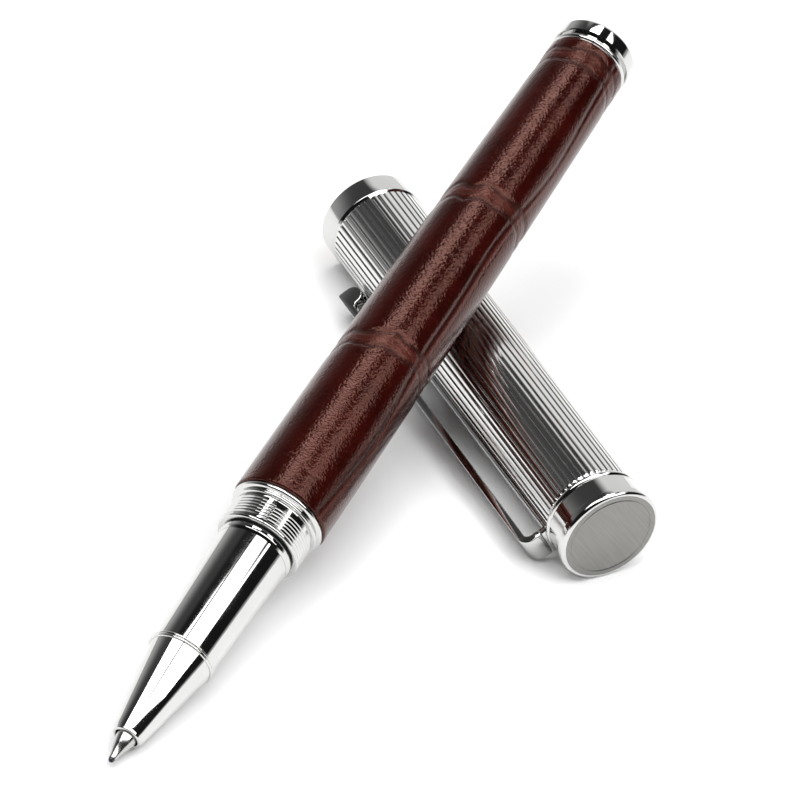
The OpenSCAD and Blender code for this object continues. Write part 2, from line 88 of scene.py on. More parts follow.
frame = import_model()
joints = {joint["name"]: joint for joint in frame["joints"]}
mounts = {mount["name"]: mount for mount in frame["record"]["mounts"]}


# ---- Places, measured on the frame ----

class Line:
    """A straight line through the object, with places along it, and around it from a side, in metres."""

    def __init__(self, foot, direction, side):
        along = Vector(direction).normalized()
        across = (Vector(side) - along * along.dot(Vector(side))).normalized()
        third = along.cross(across)
        self.matrix = Matrix((across, third, along)).transposed().to_4x4()
        self.matrix.translation = Vector(foot)
        self.seen = {}

    def points(self, node):
        """The places of a node's corners: along the line, and away from it."""
        if node not in self.seen:
            inverse = self.matrix.inverted()
            corners = [inverse @ vertex.co for vertex in frame["nodes"][node].data.vertices]
            self.seen[node] = np.array([(c.z, hypot(c.x, c.y)) for c in corners])
        return self.seen[node]

    def start(self, node):
        return float(self.points(node)[:, 0].min())

    def end(self, node):
        return float(self.points(node)[:, 0].max())

    def heights(self, node, radius, reach=0.01 * MM):
        """The lowest and highest places of a node's corners at one radius."""
        points = self.points(node)
        there = points[abs(points[:, 1] - radius) < reach, 0]
        return float(there.min()), float(there.max())

    def outer(self, node, height=None, reach=0.02 * MM):
        """The node's largest radius, at one height if that is given."""
        points = self.points(node)
        if height is not None:
            points = points[abs(points[:, 0] - height) < reach]
        return float(points[:, 1].max())

    def bore(self, node, height=None, reach=0.02 * MM):
        """The node's smallest radius, at one height if that is given."""
        points = self.points(node)
        if height is not None:
            points = points[abs(points[:, 0] - height) < reach]
        return float(points[:, 1].min())


UP = Vector((0, 0, 1))
pen_direction = Vector(joints["refill_float"]["axis"]).normalized()
ball_centre = Vector(joints["ball_roll"]["pos_m"])
ball_low, ball_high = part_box("writing_ball")
ball_radius = (ball_high.z - ball_low.z) / 2
pen = Line(ball_centre - pen_direction * ball_radius, pen_direction, UP)

cap_direction = Vector(mounts["cap_mouth"]["axis"]).normalized()
cap = Line(mounts["finial_face"]["pos_m"], cap_direction, UP)
clip_outwards = Vector(joints["clip_flex"]["axis"]).normalized().cross(cap_direction)
clip_line = Line(mounts["finial_face"]["pos_m"], cap_direction, clip_outwards)


# ---- Mesh work ----

def deselect():
    bpy.ops.object.select_all(action="DESELECT")


@contextmanager
def editing(piece):
    """Edit mode on one piece, with nothing selected in it."""
    deselect()
    bpy.context.view_layer.objects.active = piece
    piece.select_set(True)
    bpy.ops.object.mode_set(mode="EDIT")
    bpy.ops.mesh.select_mode(type="VERT")
    bpy.ops.mesh.select_all(action="DESELECT")
    yield
    bpy.ops.object.mode_set(mode="OBJECT")


def close_up(piece):
    """Merges doubled points, such as a spin's seam and its poles, and points the faces outwards."""
    with editing(piece):
        bpy.ops.mesh.select_all(action="SELECT")
        bpy.ops.mesh.remove_doubles(threshold=MERGE)
        bpy.ops.mesh.normals_make_consistent(inside=False)


def turned(name, outline, closed=True, steps=RING_STEPS):
    """Draws an outline of (radius, height) points and spins it. A closed outline makes a ring."""
    deselect()
    bpy.ops.mesh.primitive_plane_add(size=MM)
    piece = bpy.context.object
    piece.name = name
    start_r, start_z = outline[0]
    ends = outline[1:] + outline[:1] if closed else outline[1:]
    with editing(piece):
        bpy.ops.mesh.select_all(action="SELECT")
        bpy.ops.mesh.merge(type="CENTER")
        bpy.ops.transform.translate(value=(start_r, 0, start_z))
        for (r0, z0), (r1, z1) in zip(outline, ends):
            step = {"value": (r1 - r0, 0, z1 - z0)}
            bpy.ops.mesh.extrude_vertices_move(TRANSFORM_OT_translate=step)
        bpy.ops.mesh.select_all(action="SELECT")
        bpy.ops.mesh.spin(steps=steps, angle=2 * pi, center=(0, 0, 0), axis=(0, 0, 1))
    close_up(piece)
    return piece


def apply_modifier(piece, kind, **settings):
    deselect()
    bpy.context.view_layer.objects.active = piece
    piece.select_set(True)
    modifier = piece.modifiers.new(kind.title(), kind)
    for key, value in settings.items():
        setattr(modifier, key, value)
    bpy.ops.object.modifier_apply(modifier=modifier.name)


def soften(piece, width, segments=3, angle=radians(30)):
    """Rounds the sharp edges, as polishing does."""
    apply_modifier(piece, "BEVEL", width=width, segments=segments, limit_method="ANGLE",
                   angle_limit=angle, use_clamp_overlap=True, harden_normals=False)


def smooth(piece, angle=SMOOTH_ANGLE):
    deselect()
    bpy.context.view_layer.objects.active = piece
    piece.select_set(True)
    bpy.ops.object.shade_smooth_by_angle(angle=angle)


def join(name, *pieces):
    deselect()
    for piece in pieces:
        piece.select_set(True)
    bpy.context.view_layer.objects.active = pieces[0]
    bpy.ops.object.join()
    pieces[0].name = name
    return pieces[0]


def put(piece, line, material, *nodes, smooth_angle=SMOOTH_ANGLE):
    """Lays a finished piece on its line, with its place in its mesh, and hands it to the frame."""
    smooth(piece, smooth_angle)
    piece.matrix_world = line.matrix
    bpy.ops.object.transform_apply(location=True, rotation=True, scale=True)
    piece.data.materials.clear()
    piece.data.materials.append(material())
    body = frame["nodes"][nodes[0]]["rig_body"]
    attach(piece, body)
    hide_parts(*nodes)
    return piece


def arc(centre_r, centre_z, radius, first, last, steps=6):
    """Points on an arc, between two angles in degrees from the outward direction."""
    angles = [radians(first + (last - first) * i / steps) for i in range(steps + 1)]
    return [(centre_r + radius * cos(a), centre_z + radius * sin(a)) for a in angles]


def thread(name, radius, low, high, pitch, depth):
    """A closed helical ridge that stands on a shaft, for turned pieces with a screw thread."""
    turns = int((high - low - pitch) / pitch)
    sink = 0.25 * depth
    foot = pitch * 0.42
    crest = pitch * 0.1
    root = radius - depth - sink
    outline = [(root, -foot), (radius, -crest), (radius, crest), (root, foot)]
    deselect()
    bpy.ops.mesh.primitive_plane_add(size=MM)
    piece = bpy.context.object
    piece.name = name
    with editing(piece):
        bpy.ops.mesh.select_all(action="SELECT")
        bpy.ops.mesh.merge(type="CENTER")
        bpy.ops.transform.translate(value=(outline[0][0], 0, outline[0][1] + low + pitch / 2))
        for (r0, z0), (r1, z1) in zip(outline, outline[1:] + outline[:1]):
            bpy.ops.mesh.extrude_vertices_move(TRANSFORM_OT_translate={"value": (r1 - r0, 0, z1 - z0)})
        bpy.ops.mesh.select_all(action="SELECT")
        bpy.ops.mesh.remove_doubles(threshold=MERGE)
    apply_modifier(piece, "SCREW", angle=2 * pi, steps=96, render_steps=96, screw_offset=pitch,
                   iterations=turns, axis="Z", use_merge_vertices=False)
    with editing(piece):
        bpy.ops.mesh.select_all(action="SELECT")
        bpy.ops.mesh.fill_holes(sides=6)
        bpy.ops.mesh.select_all(action="SELECT")
        bpy.ops.mesh.normals_make_consistent(inside=False)
    return piece


# ---- Materials ----

class Number:
    """A number in a shader. Python arithmetic on it adds the nodes that work it out."""

    def __init__(self, shader, socket):
        self.shader = shader
        self.socket = socket

    def maths(self, operation, *others):
        node = self.shader.node("ShaderNodeMath", {"operation": operation}, self, *others)
        return Number(self.shader, node.outputs[0])

    def __add__(self, other):
        return self.maths("ADD", other)

    def __mul__(self, other):
        return self.maths("MULTIPLY", other)

    def __sub__(self, other):
        return self.maths("SUBTRACT", other)

    def __rsub__(self, other):
        return self * -1 + other

    def __truediv__(self, other):
        return self.maths("DIVIDE", other)

    def __pow__(self, other):
        return self.maths("POWER", other)

    __radd__ = __add__
    __rmul__ = __mul__


class Shader:
    """The nodes of a material or of the world, with one method that makes any of them."""

    def __init__(self, owner):
        owner.use_nodes = True
        self.owner = owner
        self.tree = owner.node_tree
        self.tree.nodes.clear()

    def node(self, kind, settings=None, *values, **named):
        """A node of a type, with its settings made first and then its sockets' values or links."""
        node = self.tree.nodes.new(kind)
        for key, value in (settings or {}).items():
            if key == "stops":
                self.stops(node, value)
            else:
                setattr(node, key, value)
        for key, value in list(enumerate(values)) + list(named.items()):
            if isinstance(key, str):
                key = key.replace("_", " ")
            self.feed(node.inputs[key], value)
        return node

    def feed(self, socket, value):
        if isinstance(value, Number):
            value = value.socket
        if isinstance(value, bpy.types.NodeSocket):
            self.tree.links.new(value, socket)
        else:
            socket.default_value = value

    def stops(self, node, stops):
        """A ramp's places and colours."""
        elements = node.color_ramp.elements
        while len(elements) < len(stops):
            elements.new(0.5)
        for element, (place, colour) in zip(elements, stops):
            element.position = place
            element.color = colour

    def number(self, kind, settings=None, output=0, *values, **named):
        return Number(self, self.node(kind, settings, *values, **named).outputs[output])

    def place(self, line=None, scale=(1, 1, 1)):
        """Object coordinates, turned so that Z runs along a line, and stretched."""
        where = self.node("ShaderNodeTexCoord").outputs["Object"]
        if line is None:
            mapping = self.node("ShaderNodeMapping", {"vector_type": "POINT"}, Vector=where, Scale=scale)
            return mapping.outputs[0]
        inverse = line.matrix.inverted()
        turned_in = self.node("ShaderNodeMapping", {"vector_type": "POINT"}, Vector=where,
                              Location=inverse.translation, Rotation=inverse.to_euler())
        return self.node("ShaderNodeMapping", {"vector_type": "POINT"}, Vector=turned_in.outputs[0],
                         Scale=scale).outputs[0]

    def noise(self, where, scale, detail=3.0, roughness=0.5):
        return self.number("ShaderNodeTexNoise", {"noise_dimensions": "3D"}, "Fac", Vector=where, Scale=scale,
                           Detail=detail, Roughness=roughness)

    def between(self, value, low, high, to_low=0.0, to_high=1.0):
        """A smooth step from one number to another as a value goes from low to high."""
        return self.number("ShaderNodeMapRange", {"interpolation_type": "SMOOTHSTEP"}, "Result", Value=value,
                           From_Min=low, From_Max=high, To_Min=to_low, To_Max=to_high)

    def mix(self, factor, first, second):
        node = self.node("ShaderNodeMix", {"data_type": "RGBA", "clamp_factor": True})
        self.feed(node.inputs["Factor"], factor)
        self.feed(node.inputs[6], first)
        self.feed(node.inputs[7], second)
        return node.outputs[2]

    def bump(self, height, distance, strength=1.0, under=None):
        node = self.node("ShaderNodeBump", None, Height=height, Distance=distance, Strength=strength)
        if under is not None:
            self.feed(node.inputs["Normal"], under)
        return node.outputs["Normal"]

    def surface(self, **values):
        """The closing Principled shader."""
        node = self.node("ShaderNodeBsdfPrincipled", None, **values)
        self.node("ShaderNodeOutputMaterial", None, Surface=node.outputs[0])
        return self.owner


made = {}


def finish(name):
    """A material that is made once, by the function that it names, and then shared."""
    def wrap(build):
        def give():
            if name not in made:
                made[name] = build(Shader(bpy.data.materials.new(name)))
            return made[name]
        return give
    return wrap


def tone(rgb, share=1.0):
    return (rgb[0] * share, rgb[1] * share, rgb[2] * share, 1.0)


def looks():
    return bpy.context.scene.pen_looks


def polished(shader, colour, roughness):
    """Mirror-like plating with faint wiping marks and a little grime."""
    where = shader.place()
    cloud = shader.noise(where, 160.0, 4.0)
    marks = shader.noise(shader.place(scale=(900, 260, 900)), 1.0, 2.0)
    wiped = shader.between(cloud, 0.35, 0.7)
    return shader.surface(
        Base_Color=shader.mix(wiped * 0.5, tone(colour), tone(colour, 0.93)),
        Metallic=1.0,
        Roughness=roughness + wiped * 0.03 + marks * 0.02,
        Normal=shader.bump(marks, 0.0004 * MM, 0.4),
    )


@finish("chrome_plate")
def chrome(shader):
    return polished(shader, looks().chrome_colour, looks().chrome_roughness)


@finish("fluted_plate")
def fluted_plate(shader):
    """Plating over the flutes, with painted shade: darker in the grooves and lighter on the ribs' crests."""
    groove = shader.number("ShaderNodeAttribute", {"attribute_name": "groove"}, "Fac")
    cloud = shader.noise(shader.place(), 220.0, 4.0)
    colour = looks().chrome_colour
    return shader.surface(
        # painted shade: the base colour goes from lighter on the crests to darker in the grooves, unevenly
        # with the cloud
        Base_Color=shader.mix(groove * (0.4 + cloud * 0.4), tone(colour, 1.12), tone(colour, 0.52)),
        Metallic=1.0,
        Roughness=looks().chrome_roughness + 0.02 + groove * 0.2 + cloud * 0.05,
        Normal=shader.bump(cloud, 0.001 * MM, 0.3),
    )


@finish("satin_finial")
def satin(shader):
    """A face finished with straight fine brushing."""
    strokes = shader.node("ShaderNodeMapping", {"vector_type": "POINT"},
                          Vector=shader.place(cap), Rotation=(0, 0, radians(looks().brush_angle)))
    stretched = shader.node("ShaderNodeMapping", {"vector_type": "POINT"}, Vector=strokes.outputs[0],
                            Scale=(130, 4200, 130)).outputs[0]
    lines = shader.noise(stretched, 1.0, 4.0, 0.6)
    cloud = shader.noise(shader.place(), 260.0, 3.0)
    colour = looks().satin_colour
    return shader.surface(
        Base_Color=shader.mix(shader.between(lines, 0.3, 0.7) * 0.6 + cloud * 0.4,
                              tone(colour, 0.78), tone(colour)),
        Metallic=1.0,
        Roughness=0.27 + lines * 0.08,
        Normal=shader.bump(lines, 0.003 * MM, 0.5),
    )


@finish("creased_leather")
def leather(shader):
    """Glazed hide: fine grain all over, lighter, drier ridges in the creases, and painted shade that darkens
    the pressed-in hollows.
    """
    where = shader.place(pen)
    crease = shader.number("ShaderNodeAttribute", {"attribute_name": "crease"}, "Fac")
    ridge = shader.number("ShaderNodeAttribute", {"attribute_name": "ridge"}, "Fac")
    cloud = shader.noise(shader.place(), 190.0, 5.0, 0.6)
    patches = shader.noise(shader.place(pen, (1, 1, 0.35)), 420.0, 3.0)
    pebbles = shader.number("ShaderNodeTexVoronoi", {"feature": "SMOOTH_F1"}, "Distance",
                            Vector=shader.place(pen, (1.0, 1.0, 1.3)), Scale=looks().grain_scale,
                            Smoothness=0.15)
    wrinkles = shader.noise(shader.place(pen, (1.0, 1.0, 1.5)), 1900.0, 4.0, 0.6)
    pores = shader.noise(where, 5200.0, 2.0)
    colour = looks().leather_colour
    dry = looks().ridge_colour
    dyed = shader.mix(shader.between(cloud, 0.3, 0.7), tone(colour, 0.75), tone(colour, 1.35))
    worn = shader.mix(ridge * 0.75 + shader.between(wrinkles, 0.5, 0.75) * 0.12, dyed, tone(dry))
    grain = pebbles * -1.0 + wrinkles * 0.5 + pores * 0.15
    return shader.surface(
        # painted shade: the base colour darkens where the hide is pressed deepest, in the creases, seams and
        # wrinkles
        Base_Color=shader.mix(crease * 0.7, worn, tone(colour, 0.3)),
        Roughness=looks().leather_roughness + patches * 0.06 + crease * 0.15 + ridge * 0.08,
        Specular_Tint=tone(looks().gloss_tint),
        IOR=1.5,
        Normal=shader.bump(grain, looks().grain_depth, 1.0),
    )


@finish("turned_brass")
def brass(shader):
    """Bare brass with the lathe's marks."""
    marks = shader.noise(shader.place(pen, (300, 300, 9000)), 1.0, 2.0)
    cloud = shader.noise(shader.place(), 300.0, 4.0)
    return shader.surface(
        Base_Color=shader.mix(cloud, (0.72, 0.5, 0.2, 1), (0.8, 0.6, 0.29, 1)),
        Metallic=1.0,
        Roughness=0.2 + cloud * 0.1 + marks * 0.08,
        Normal=shader.bump(marks, 0.002 * MM, 0.5),
    )


@finish("turned_steel")
def steel(shader):
    """Fine-turned steel, a little greyer than the plating."""
    marks = shader.noise(shader.place(pen, (400, 400, 12000)), 1.0, 2.0)
    cloud = shader.noise(shader.place(), 500.0, 3.0)
    return shader.surface(
        Base_Color=shader.mix(cloud, (0.4, 0.4, 0.39, 1), (0.56, 0.56, 0.55, 1)),
        Metallic=1.0,
        Roughness=0.14 + marks * 0.12,
        Normal=shader.bump(marks, 0.0015 * MM, 0.5),
    )


@finish("carbide")
def carbide(shader):
    """The writing ball, with a film of ink."""
    ink = shader.between(shader.noise(shader.place(), 4000.0, 2.0), 0.4, 0.6)
    return shader.surface(
        Base_Color=shader.mix(ink, (0.12, 0.12, 0.13, 1), (0.01, 0.012, 0.03, 1)),
        Metallic=1.0 - ink * 0.6,
        Roughness=0.12 + ink * 0.1,
    )


@finish("bright_wire")
def wire(shader):
    cloud = shader.noise(shader.place(), 900.0, 3.0)
    return shader.surface(
        Base_Color=shader.mix(cloud, (0.45, 0.45, 0.46, 1), (0.62, 0.62, 0.63, 1)),
        Metallic=1.0,
        Roughness=0.18 + cloud * 0.12,
    )


def moulded(shader, colour, roughness):
    """Moulded plastic or rubber with a fine matt texture."""
    fine = shader.noise(shader.place(), 6000.0, 2.0)
    cloud = shader.noise(shader.place(), 240.0, 3.0)
    return shader.surface(
        Base_Color=shader.mix(cloud, tone(colour, 0.8), tone(colour, 1.25)),
        Roughness=roughness + fine * 0.12,
        Normal=shader.bump(fine, 0.003 * MM, 0.6),
    )


@finish("black_plastic")
def black_plastic(shader):
    return moulded(shader, (0.014, 0.014, 0.015), 0.36)


@finish("liner_plastic")
def liner_plastic(shader):
    return moulded(shader, (0.03, 0.03, 0.032), 0.42)


@finish("seal_rubber")
def rubber(shader):
    return moulded(shader, (0.008, 0.008, 0.008), 0.5)


@finish("ink_fibre")
def fibre(shader):
    """Fibres that are soaked with ink."""
    strands = shader.noise(shader.place(pen, (6000, 6000, 500)), 1.0, 3.0)
    return shader.surface(
        Base_Color=shader.mix(strands, (0.004, 0.006, 0.03, 1), (0.02, 0.03, 0.12, 1)),
        Roughness=0.45 + strands * 0.2,
        Normal=shader.bump(strands, 0.01 * MM, 0.6),
    )


@finish("pale_floor")
def floor_paper(shader):
    """Matt white paper."""
    fibres = shader.noise(shader.place(), 2500.0, 3.0)
    shade = bpy.context.scene.pen_stage.floor_shade
    return shader.surface(
        Base_Color=shader.mix(fibres, tone((shade, shade, shade), 0.995), tone((shade, shade, shade))),
        Roughness=0.9,
    )


# ---- What a user would change ----

class PenLooks(bpy.types.PropertyGroup):
    """Sizes and colours of the pen's and the cap's finish"""
    chrome_colour: bpy.props.FloatVectorProperty(
        name="Plating", description="Reflected colour of the plating", subtype="COLOR", size=3,
        default=(0.63, 0.63, 0.62), min=0, max=1)
    chrome_roughness: bpy.props.FloatProperty(
        name="Plating Roughness", description="How blurred the plating's reflections are",
        default=0.035, min=0, max=1)
    satin_colour: bpy.props.FloatVectorProperty(
        name="Finial", description="Reflected colour of the brushed finial", subtype="COLOR", size=3,
        default=(0.27, 0.266, 0.254), min=0, max=1)
    brush_angle: bpy.props.FloatProperty(
        name="Brushing", description="Direction of the finial's brushing, in degrees", default=35.0)
    leather_colour: bpy.props.FloatVectorProperty(
        name="Leather", description="Colour of the dyed leather", subtype="COLOR", size=3,
        default=(0.019, 0.0016, 0.0011), min=0, max=1)
    ridge_colour: bpy.props.FloatVectorProperty(
        name="Leather Ridges", description="Colour of the drier ridges in the creases",
        subtype="COLOR", size=3, default=(0.1, 0.02, 0.014), min=0, max=1)
    gloss_tint: bpy.props.FloatVectorProperty(
        name="Leather Gloss", description="Tint of the leather's gloss", subtype="COLOR", size=3,
        default=(1.0, 0.48, 0.38), min=0, max=1)
    leather_roughness: bpy.props.FloatProperty(
        name="Leather Roughness", description="How matt the leather is", default=0.085, min=0, max=1)
    grain_scale: bpy.props.FloatProperty(
        name="Grain", description="Pebbles of the leather's grain in a metre", default=3000.0, min=100)
    grain_depth: bpy.props.FloatProperty(
        name="Grain Depth", description="Depth of the leather's grain", subtype="DISTANCE", unit="LENGTH",
        default=0.03 * MM, min=0)
    crease_depth: bpy.props.FloatProperty(
        name="Crease Depth", description="Depth of the creases in the leather",
        subtype="DISTANCE", unit="LENGTH", default=0.13 * MM, min=0)
    flute_count: bpy.props.IntProperty(
        name="Flutes", description="Number of flutes around the cap", default=45, min=8)
    spring_turns: bpy.props.IntProperty(
        name="Spring Turns", description="Turns of the spring behind the refill", default=4, min=1)
    groove_depth: bpy.props.FloatProperty(
        name="Flute Depth", description="Depth of the groove between two ribs",
        subtype="DISTANCE", unit="LENGTH", default=0.2 * MM, min=0)


class PenStage(bpy.types.PropertyGroup):
    """The floor, the light and the camera"""
    floor_shade: bpy.props.FloatProperty(
        name="Floor", description="How much light the floor reflects", default=0.9, min=0, max=1)
    light: bpy.props.FloatProperty(
        name="Light", description="Strength of the soft boxes", default=1.0, min=0)
    backdrop: bpy.props.FloatProperty(
        name="Backdrop", description="Brightness of the studio behind the pen", default=1.0, min=0)
    fill: bpy.props.FloatProperty(
        name="Fill", description="Soft light from all around, which opens up the shadows",
        default=0.36, min=0)
    heading: bpy.props.FloatProperty(
        name="Heading", description="Where the camera looks, from +X", subtype="ANGLE", unit="ROTATION",
        default=radians(60.08))
    elevation: bpy.props.FloatProperty(
        name="Elevation", description="How far the camera looks down", subtype="ANGLE", unit="ROTATION",
        default=radians(40.0))
    roll: bpy.props.FloatProperty(
        name="Roll", description="How far the camera leans to its left", subtype="ANGLE", unit="ROTATION",
        default=radians(5.56))
    distance: bpy.props.FloatProperty(
        name="Distance", description="From the camera to the point on the floor that it looks at",
        subtype="DISTANCE", unit="LENGTH", default=0.5513)
    aim: bpy.props.FloatVectorProperty(
        name="Aim", description="From the floor below the finial to the point that the camera looks at",
        subtype="XYZ", unit="LENGTH", size=3, default=(-0.008344, 0.037674, 0.0))
    lens: bpy.props.FloatProperty(
        name="Lens", description="Focal length in millimetres", default=202.5, min=1)


# ---- Pieces ----

class MakePiece:
    """What the operators share"""
    bl_options = {"REGISTER", "UNDO"}

    def execute(self, context):
        self.make(context.scene.pen_looks)
        return {"FINISHED"}


class PEN_OT_leather(MakePiece, bpy.types.Operator):
    """Make the leather cover, with its creases, its seams and its turned-in ends"""
    bl_idname = "pen.leather"
    bl_label = "Leather Cover"

    def make(self, look):
        node = "leather_wrap"
        low = pen.start(node)
        high = pen.end(node)
        front = pen.outer(node, low)
        rear = pen.outer(node, high)
        step = 0.24 * MM
        turn_in = 0.28 * MM
        count = int((high - low - 2 * turn_in) / step)

        def radius(height):
            share = min(1.0, max(0.0, (height - low) / (high - low)))
            return front - (front - rear) * (0.47 * share + 0.53 * share ** 2)

        heights = [low + turn_in + (high - low - 2 * turn_in) * i / count for i in range(count + 1)]
        outline = arc(radius(low) - turn_in, low + turn_in, turn_in, -90, -15, 4)
        outline += [(radius(h), h) for h in heights]
        outline += arc(radius(high) - turn_in, high - turn_in, turn_in, 15, 90, 4)
        cover = turned("leather_cover", outline, closed=False, steps=208)
        self.emboss(cover, low, high, look)
        thickness = front - pen.bore(node, low) - 0.02 * MM
        apply_modifier(cover, "SOLIDIFY", thickness=thickness, offset=-1.0, use_even_offset=True)
        put(cover, pen, leather, node, smooth_angle=radians(60))

    def emboss(self, cover, low, high, look):
        """Presses the hide's pattern into the cover: panels parted by creases and seams."""
        mesh = cover.data
        points = np.zeros(len(mesh.vertices) * 3)
        mesh.vertices.foreach_get("co", points)
        points = points.reshape(-1, 3)
        along = (points[:, 2] - low) / MM
        around = np.degrees(np.arctan2(points[:, 1], points[:, 0]))
        length = (high - low) / MM
        depth, ridge = hide_pattern(along, around, length)
        reach = np.hypot(points[:, 0], points[:, 1])
        edge = np.clip(np.minimum(along, length - along) / 0.6, 0, 1)
        pressed = look.crease_depth * depth * edge
        points[:, :2] *= ((reach - pressed) / reach)[:, None]
        mesh.vertices.foreach_set("co", points.ravel())
        for name, values in (("crease", np.clip(depth, 0, 1) ** 1.5), ("ridge", ridge)):
            attribute = mesh.attributes.new(name, "FLOAT", "POINT")
            attribute.data.foreach_set("value", values.astype(np.float32))
        mesh.update()


def bell(x, width):
    return np.exp(-(x / width) ** 2)


def wave(x, y, seed):
    """A smooth wandering value near -1 to 1, the same each run."""
    source = np.random.default_rng(seed)
    total = np.zeros_like(x)
    for _ in range(6):
        fx, fy = source.normal(0, 1, 2)
        phase = source.uniform(0, 2 * pi)
        total += np.sin(x * fx + y * fy + phase)
    return total / 3.0


CREASES = (          # places along the leather in mm, and how strong each is
    (24.2, 1.0),
    (50.0, 1.0),
    (75.6, 0.85),
)
LANES = (            # furrows side by side in a crease: place in mm, depth, width in mm
    (-1.15, 0.85, 0.3),
    (-0.35, 0.35, 0.16),
    (0.35, 0.45, 0.18),
    (1.1, 1.0, 0.34),
)
SEAMS = (            # degrees around the leather at its front, and how far each wanders
    (62.0, 7.0),
    (128.0, -6.0),
    (-172.0, 7.0),
    (-112.0, -5.0),
)

WRINKLES = (         # short ones: mm along the leather, degrees around it, half the width in degrees
    (3.4, 22.0, 26.0),
    (4.6, -8.0, 16.0),
    (39.5, 30.0, 18.0),
    (57.0, 12.0, 14.0),
)


def hide_pattern(along, around, length):
    """How deep each point lies, from 0 on a panel to 1 in a crease, and how much it is a worn ridge."""
    turn = np.radians(around)
    ring_x = np.cos(turn) * 6.0
    ring_y = np.sin(turn) * 6.0
    sway = wave(ring_x * 0.35, ring_y * 0.35, 3) * 0.5
    depth = np.zeros_like(along)
    ridge = np.zeros_like(along)
    near = np.full_like(along, 99.0)
    for index, (place, strength) in enumerate(CREASES):
        bow = 1.1 * np.sin(turn + 0.3 + 0.4 * index)
        middle = place + bow + sway + 0.25 * wave(ring_x, ring_y, 20 + index)
        off = along - middle
        near = np.minimum(near, abs(off))
        for shift, part, width in LANES:
            lane = shift + 0.22 * wave(ring_x * 1.3, ring_y * 1.3, 40 + index * 7 + int(shift * 10))
            depth += strength * part * bell(off - lane, width)
        uneven = wave(ring_x * 3, ring_y * 3 + along * 2, 60 + index)
        ridge += strength * bell(off, 0.95) * (0.75 + 0.25 * uneven)
    for index, (angle, wander) in enumerate(SEAMS):
        line = angle + wander * np.sin(2 * pi * along / 51.0 + index) - 3.0 * np.cos(2 * pi * along / 24.0)
        off = ((around - line + 180) % 360 - 180) * radius_share(along, length)
        near = np.minimum(near, abs(off) * 1.4)
        depth += 0.85 * bell(off, 0.26)
        depth += 0.35 * bell(off - 1.0, 0.2) * (0.5 + 0.5 * wave(along * 0.2, off * 0.1, 80 + index))
        ridge += 0.55 * bell(off - 0.55, 0.35)
    near = np.clip(near, 0, 6)
    depth += 0.55 * bell(near, 1.9) - 0.06
    for place, angle, wide in WRINKLES:
        off = along - place - 0.8 * ((around - angle) / wide) ** 2
        depth += 0.4 * bell(off, 0.22) * bell(around - angle, wide)
    fine = wave(ring_x * 2.2, along * 2.4 + ring_y, 90) * wave(along * 1.1, ring_y * 2.5, 91)
    depth += 0.05 * fine + 0.05 * wave(along * 0.5, ring_x * 0.7 + ring_y * 0.9, 92)
    return np.clip(depth, -0.05, 1.15), np.clip(ridge, 0, 1)


def radius_share(along, length):
    """Millimetres of leather in a degree around the barrel."""
    return (6.0 - 0.87 * along / length) * pi / 180


class PEN_OT_barrel_metal(MakePiece, bpy.types.Operator):
    """Make the threaded collar, the ring behind the leather and the end plug"""
    bl_idname = "pen.barrel_metal"
    bl_label = "Barrel Metalwork"

    def make(self, look):
        self.collar(look)
        self.rear_ring(look)
        self.end_plug(look)

    def collar(self, look):
        node = "collar_bushing"
        low = pen.start(node)
        back = pen.end(node)
        seat = pen.start("leather_wrap")
        bore = pen.bore(node)
        bead = pen.outer(node)
        sleeve = pen.outer(node, back)
        crest = pen.outer(node, low + 1.0 * MM, 0.3 * MM)
        shoulder = pen.outer(node, low)
        depth = 0.15 * MM
        thread_low = low + 0.32 * MM
        thread_high = seat - 1.5 * MM
        core = crest - depth
        outline = [(bore, low), (shoulder - 0.12 * MM, low)]
        outline += arc(crest - 0.28 * MM, low + 0.26 * MM, 0.26 * MM, -80, 0, 5)
        outline += [(core, thread_low + 0.08 * MM), (core, thread_high)]
        ring = (crest + bead) / 2
        outline += arc(ring - 0.2 * MM, seat - 1.22 * MM, 0.2 * MM, -75, 75, 6)
        outline += [(ring - 0.2 * MM, seat - 0.9 * MM), (ring - 0.2 * MM, seat - 0.82 * MM)]
        outline += arc(bead - 0.3 * MM, seat - 0.4 * MM, 0.3 * MM, -70, 60, 7)
        outline += [(bead - 0.24 * MM, seat), (sleeve, seat), (sleeve, back), (bore, back)]
        body = turned("collar_body", outline)
        ridge = thread("collar_ridge", crest, thread_low, thread_high + 0.1 * MM, 0.45 * MM, depth)
        put(join("threaded_collar", body, ridge), pen, chrome, node)

    def rear_ring(self, look):
        node = "rear_ring"
        low = pen.start(node)
        high = pen.end(node)
        outer = pen.outer(node)
        bore = pen.bore(node)
        half = (high - low) / 2
        outline = [(bore, low), (outer - 0.25 * MM, low)]
        outline += arc(outer - half * 0.8, low + half, half * 0.8, -80, 80, 8)
        outline += [(outer - 0.25 * MM, high), (bore, high)]
        put(turned("leather_rear_ring", outline), pen, chrome, node)

    def end_plug(self, look):
        node = "end_plug"
        low = pen.start(node)
        high = pen.end(node)
        groove = pen.end("rear_ring")
        outer = pen.outer(node)
        stem = pen.outer(node, low)
        pocket = pen.bore(node, low)
        neck = pen.outer(node, groove)
        floor = pen.heights(node, pocket)[1]
        step = pen.heights(node, outer)[0]
        face_dish = 0.05 * MM
        outline = [(0, floor), (pocket, floor), (pocket, low), (stem, low), (stem, groove), (neck, groove)]
        outline += [(neck, step), (outer - 0.1 * MM, step), (outer, step + 0.1 * MM)]
        outline += arc(outer - 0.5 * MM, high - 0.5 * MM, 0.5 * MM, 0, 90, 8)
        outline += [(outer - 0.9 * MM, high), (outer - 1.0 * MM, high - face_dish), (0, high - face_dish)]
        put(turned("barrel_end_plug", outline, closed=False), pen, chrome, node)


